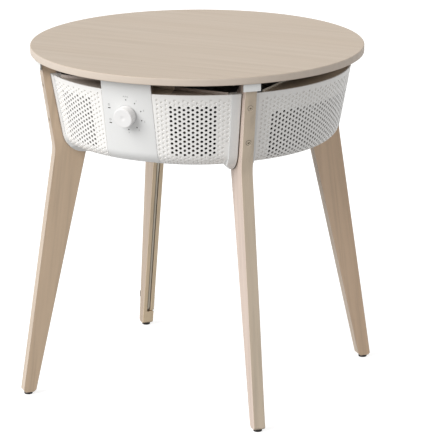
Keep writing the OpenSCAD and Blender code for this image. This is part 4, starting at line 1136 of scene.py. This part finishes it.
def hank_path():
    """Four outer turns side by side, one inner turn on them, and the end that leads to the connector."""
    near = HANK_ENDS[0]
    low, top = HANK_MID - OUTER_R, HANK_MID + OUTER_R
    inner_low, inner_top = HANK_MID - INNER_R, HANK_MID + INNER_R
    rows = [xyz((*HANK_IN, near), LANES[0], low)]
    for lane, following in zip(LANES, LANES[1:]):
        rows += lap(True, OUTER_R, (lane, lane), (low, low))
        rows += lap(False, OUTER_R, (lane, following), (top, top), side_share=(0.5, 1))
    rows += lap(True, OUTER_R, (LANES[-1], LANES[-1]), (low, low))
    rows += lap(False, INNER_R, (LANES[-1], INNER_LANE), (top, inner_top), height_share=(0, 0.5))
    rows += lap(True, INNER_R, (INNER_LANE, 0), (inner_low, inner_low))
    rows += lap(False, INNER_R, (0, 0), (inner_top, inner_top))
    along = np.linspace(near, CONNECTOR_AT[0], 18)[1:]
    rows.append(xyz(along, eased(0, CONNECTOR_AT[1], (along - near) / ASIDE_RUN),
                    eased(inner_low, CONNECTOR_AT[2], (along - DROP_FROM) / DROP_RUN)))
    return np.concatenate(rows)


def smooth_path(points, step):
    """A Catmull-Rom curve through points: on each span 0.5 (2 b + (c - a) t + (2a - 5b + 4c - d) t^2
    + (3b - a - 3c + d) t^3), sampled again at even steps of its length."""
    points = np.asarray(points, float)
    padded = np.concatenate([2 * points[:1] - points[1:2], points, 2 * points[-1:] - points[-2:-1]])
    a, b, c, d = (padded[i:len(padded) - 3 + i, None] for i in range(4))
    t = (np.arange(8) / 8)[None, :, None]
    dense = 0.5 * (2 * b + (c - a) * t + (2 * a - 5 * b + 4 * c - d) * t ** 2
                   + (3 * b - a - 3 * c + d) * t ** 3)
    dense = np.concatenate([dense.reshape(-1, 3), points[-1:]])
    length = np.concatenate([[0], np.cumsum(np.linalg.norm(np.diff(dense, axis=0), axis=1))])
    even = np.linspace(0, length[-1], max(2, round(length[-1] / step) + 1))
    return xyz(*(np.interp(even, length, dense[:, i]) for i in range(3)))


def connector():
    """The barrel connector: a dark grip with a soft neck, and its bare tip."""
    profile = NECK + rounded((4.2, 10.8), 0.8, -90, 0, 4) + [(GRIP_R, 12), (GRIP_R, 15)]
    for x in GRIP_GROOVES:
        profile += [(GRIP_R, x), (GROOVE_R, x + 0.4), (GROOVE_R, x + 1.0), (GRIP_R, x + 1.4)]
    profile += [(GRIP_R, 27), (GRIP_R, 33.2)] + rounded((4.2, 33.2), 0.8, 0, 90, 4) + [(3, 34), (0, 34)]
    axes = (in_hank(CONNECTOR_AT), HANK_SIDE, UP, HANK_ALONG)
    plug = piece("lead_plug_finish", *turned_along(profile, 40, *axes), DARK_PLASTIC, "dark_plastic",
                 ("lead_plug",))
    return plug, piece("lead_tip_finish", *turned_along(TIP, 32, *axes), STEEL, "bare_steel")


def cord_tie():
    """A flat strap round the hank: its section carried round a box with round corners."""
    turns = np.radians([np.linspace(q, q + 90, STRAP_STEPS) for q in (0, 90, 180, 270)]).reshape(-1, 1)
    signs = np.repeat([(1, 1), (-1, 1), (-1, -1), (1, -1)], STRAP_STEPS, 0)
    reach = STRAP_BEND + STRAP[:, 1]
    y = signs[:, :1] * (STRAP_HALF[0] - STRAP_BEND) + reach * np.cos(turns)
    z = STRAP_MID + signs[:, 1:] * (STRAP_HALF[1] - STRAP_BEND) + reach * np.sin(turns)
    strap = in_hank(xyz(sum(HANK_ENDS) / 2 + STRAP[:, 0], y, z))
    return piece("cord_tie_finish", strap, [closed_rings(len(turns), len(STRAP))], DARK_PLASTIC,
                 "dark_plastic", ("cord_tie",))


def power_lead():
    """The low-voltage lead from its gland down the leg's groove to the tied hank, with its connector."""
    diagonal = math.sqrt(0.5)
    groove = [(-r * diagonal, r * diagonal, z) for r, z in GROOVE_RUN]
    path = smooth_path(np.concatenate([groove, FLOOR_RUN, in_hank(hank_path())]), LEAD_STEP)
    lead = piece("power_lead_finish", *swept(path, LEAD_D / 2, LEAD_SIDES, HANK_SIDE), JACKET, "lead_jacket",
                 ("power_lead", "cord_hank"), sharp=60)
    plug, tip = connector()
    tie = cord_tie()


power_lead()
table_top()
legs_and_posts()
leg_screws()
foot_glides()
grilles()
control_panel()
control_knob()
dial_dots()
panel_marks()
top_deck()
refined("filter_cover", SHELL_WHITE, 0.3, "cover", shortest=1.5)
refined("cover_handle", SHELL_WHITE, 0.4, "cover", shortest=1.5)
base_pan()
refined("cord_gland", DARK_PLASTIC)

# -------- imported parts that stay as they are

KEPT = {
    STEEL: ("top_screws", "deck_screws", "board_screws", "motor_screws", "lower_bearing", "upper_bearing",
            "fan_shaft", "fan_nut", "encoder_shaft", "rotor_cup"),
    BOARD_GREEN: ("control_board", "power_board"),
    DARK_PLASTIC: ("encoder_body", "push_plunger", "reset_switch", "dust_sensor", "fan_lead", "panel_lead"),
    GREY_AND_SHADE: ("inlet_ring", "motor_bracket", "fan_impeller"),
    COPPER: ("motor_stator",),
    BLACK_AND_SHADE: ("magnet_ring",),
    PAPER: ("particle_filter",),
    NET_BLACK: ("pre_filter",),
    SHELL_WHITE: ("reset_button",),
}

for finish, names in KEPT.items():
    for name in names:
        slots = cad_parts[name].data.materials
        slots.clear()
        slots.append(finish)
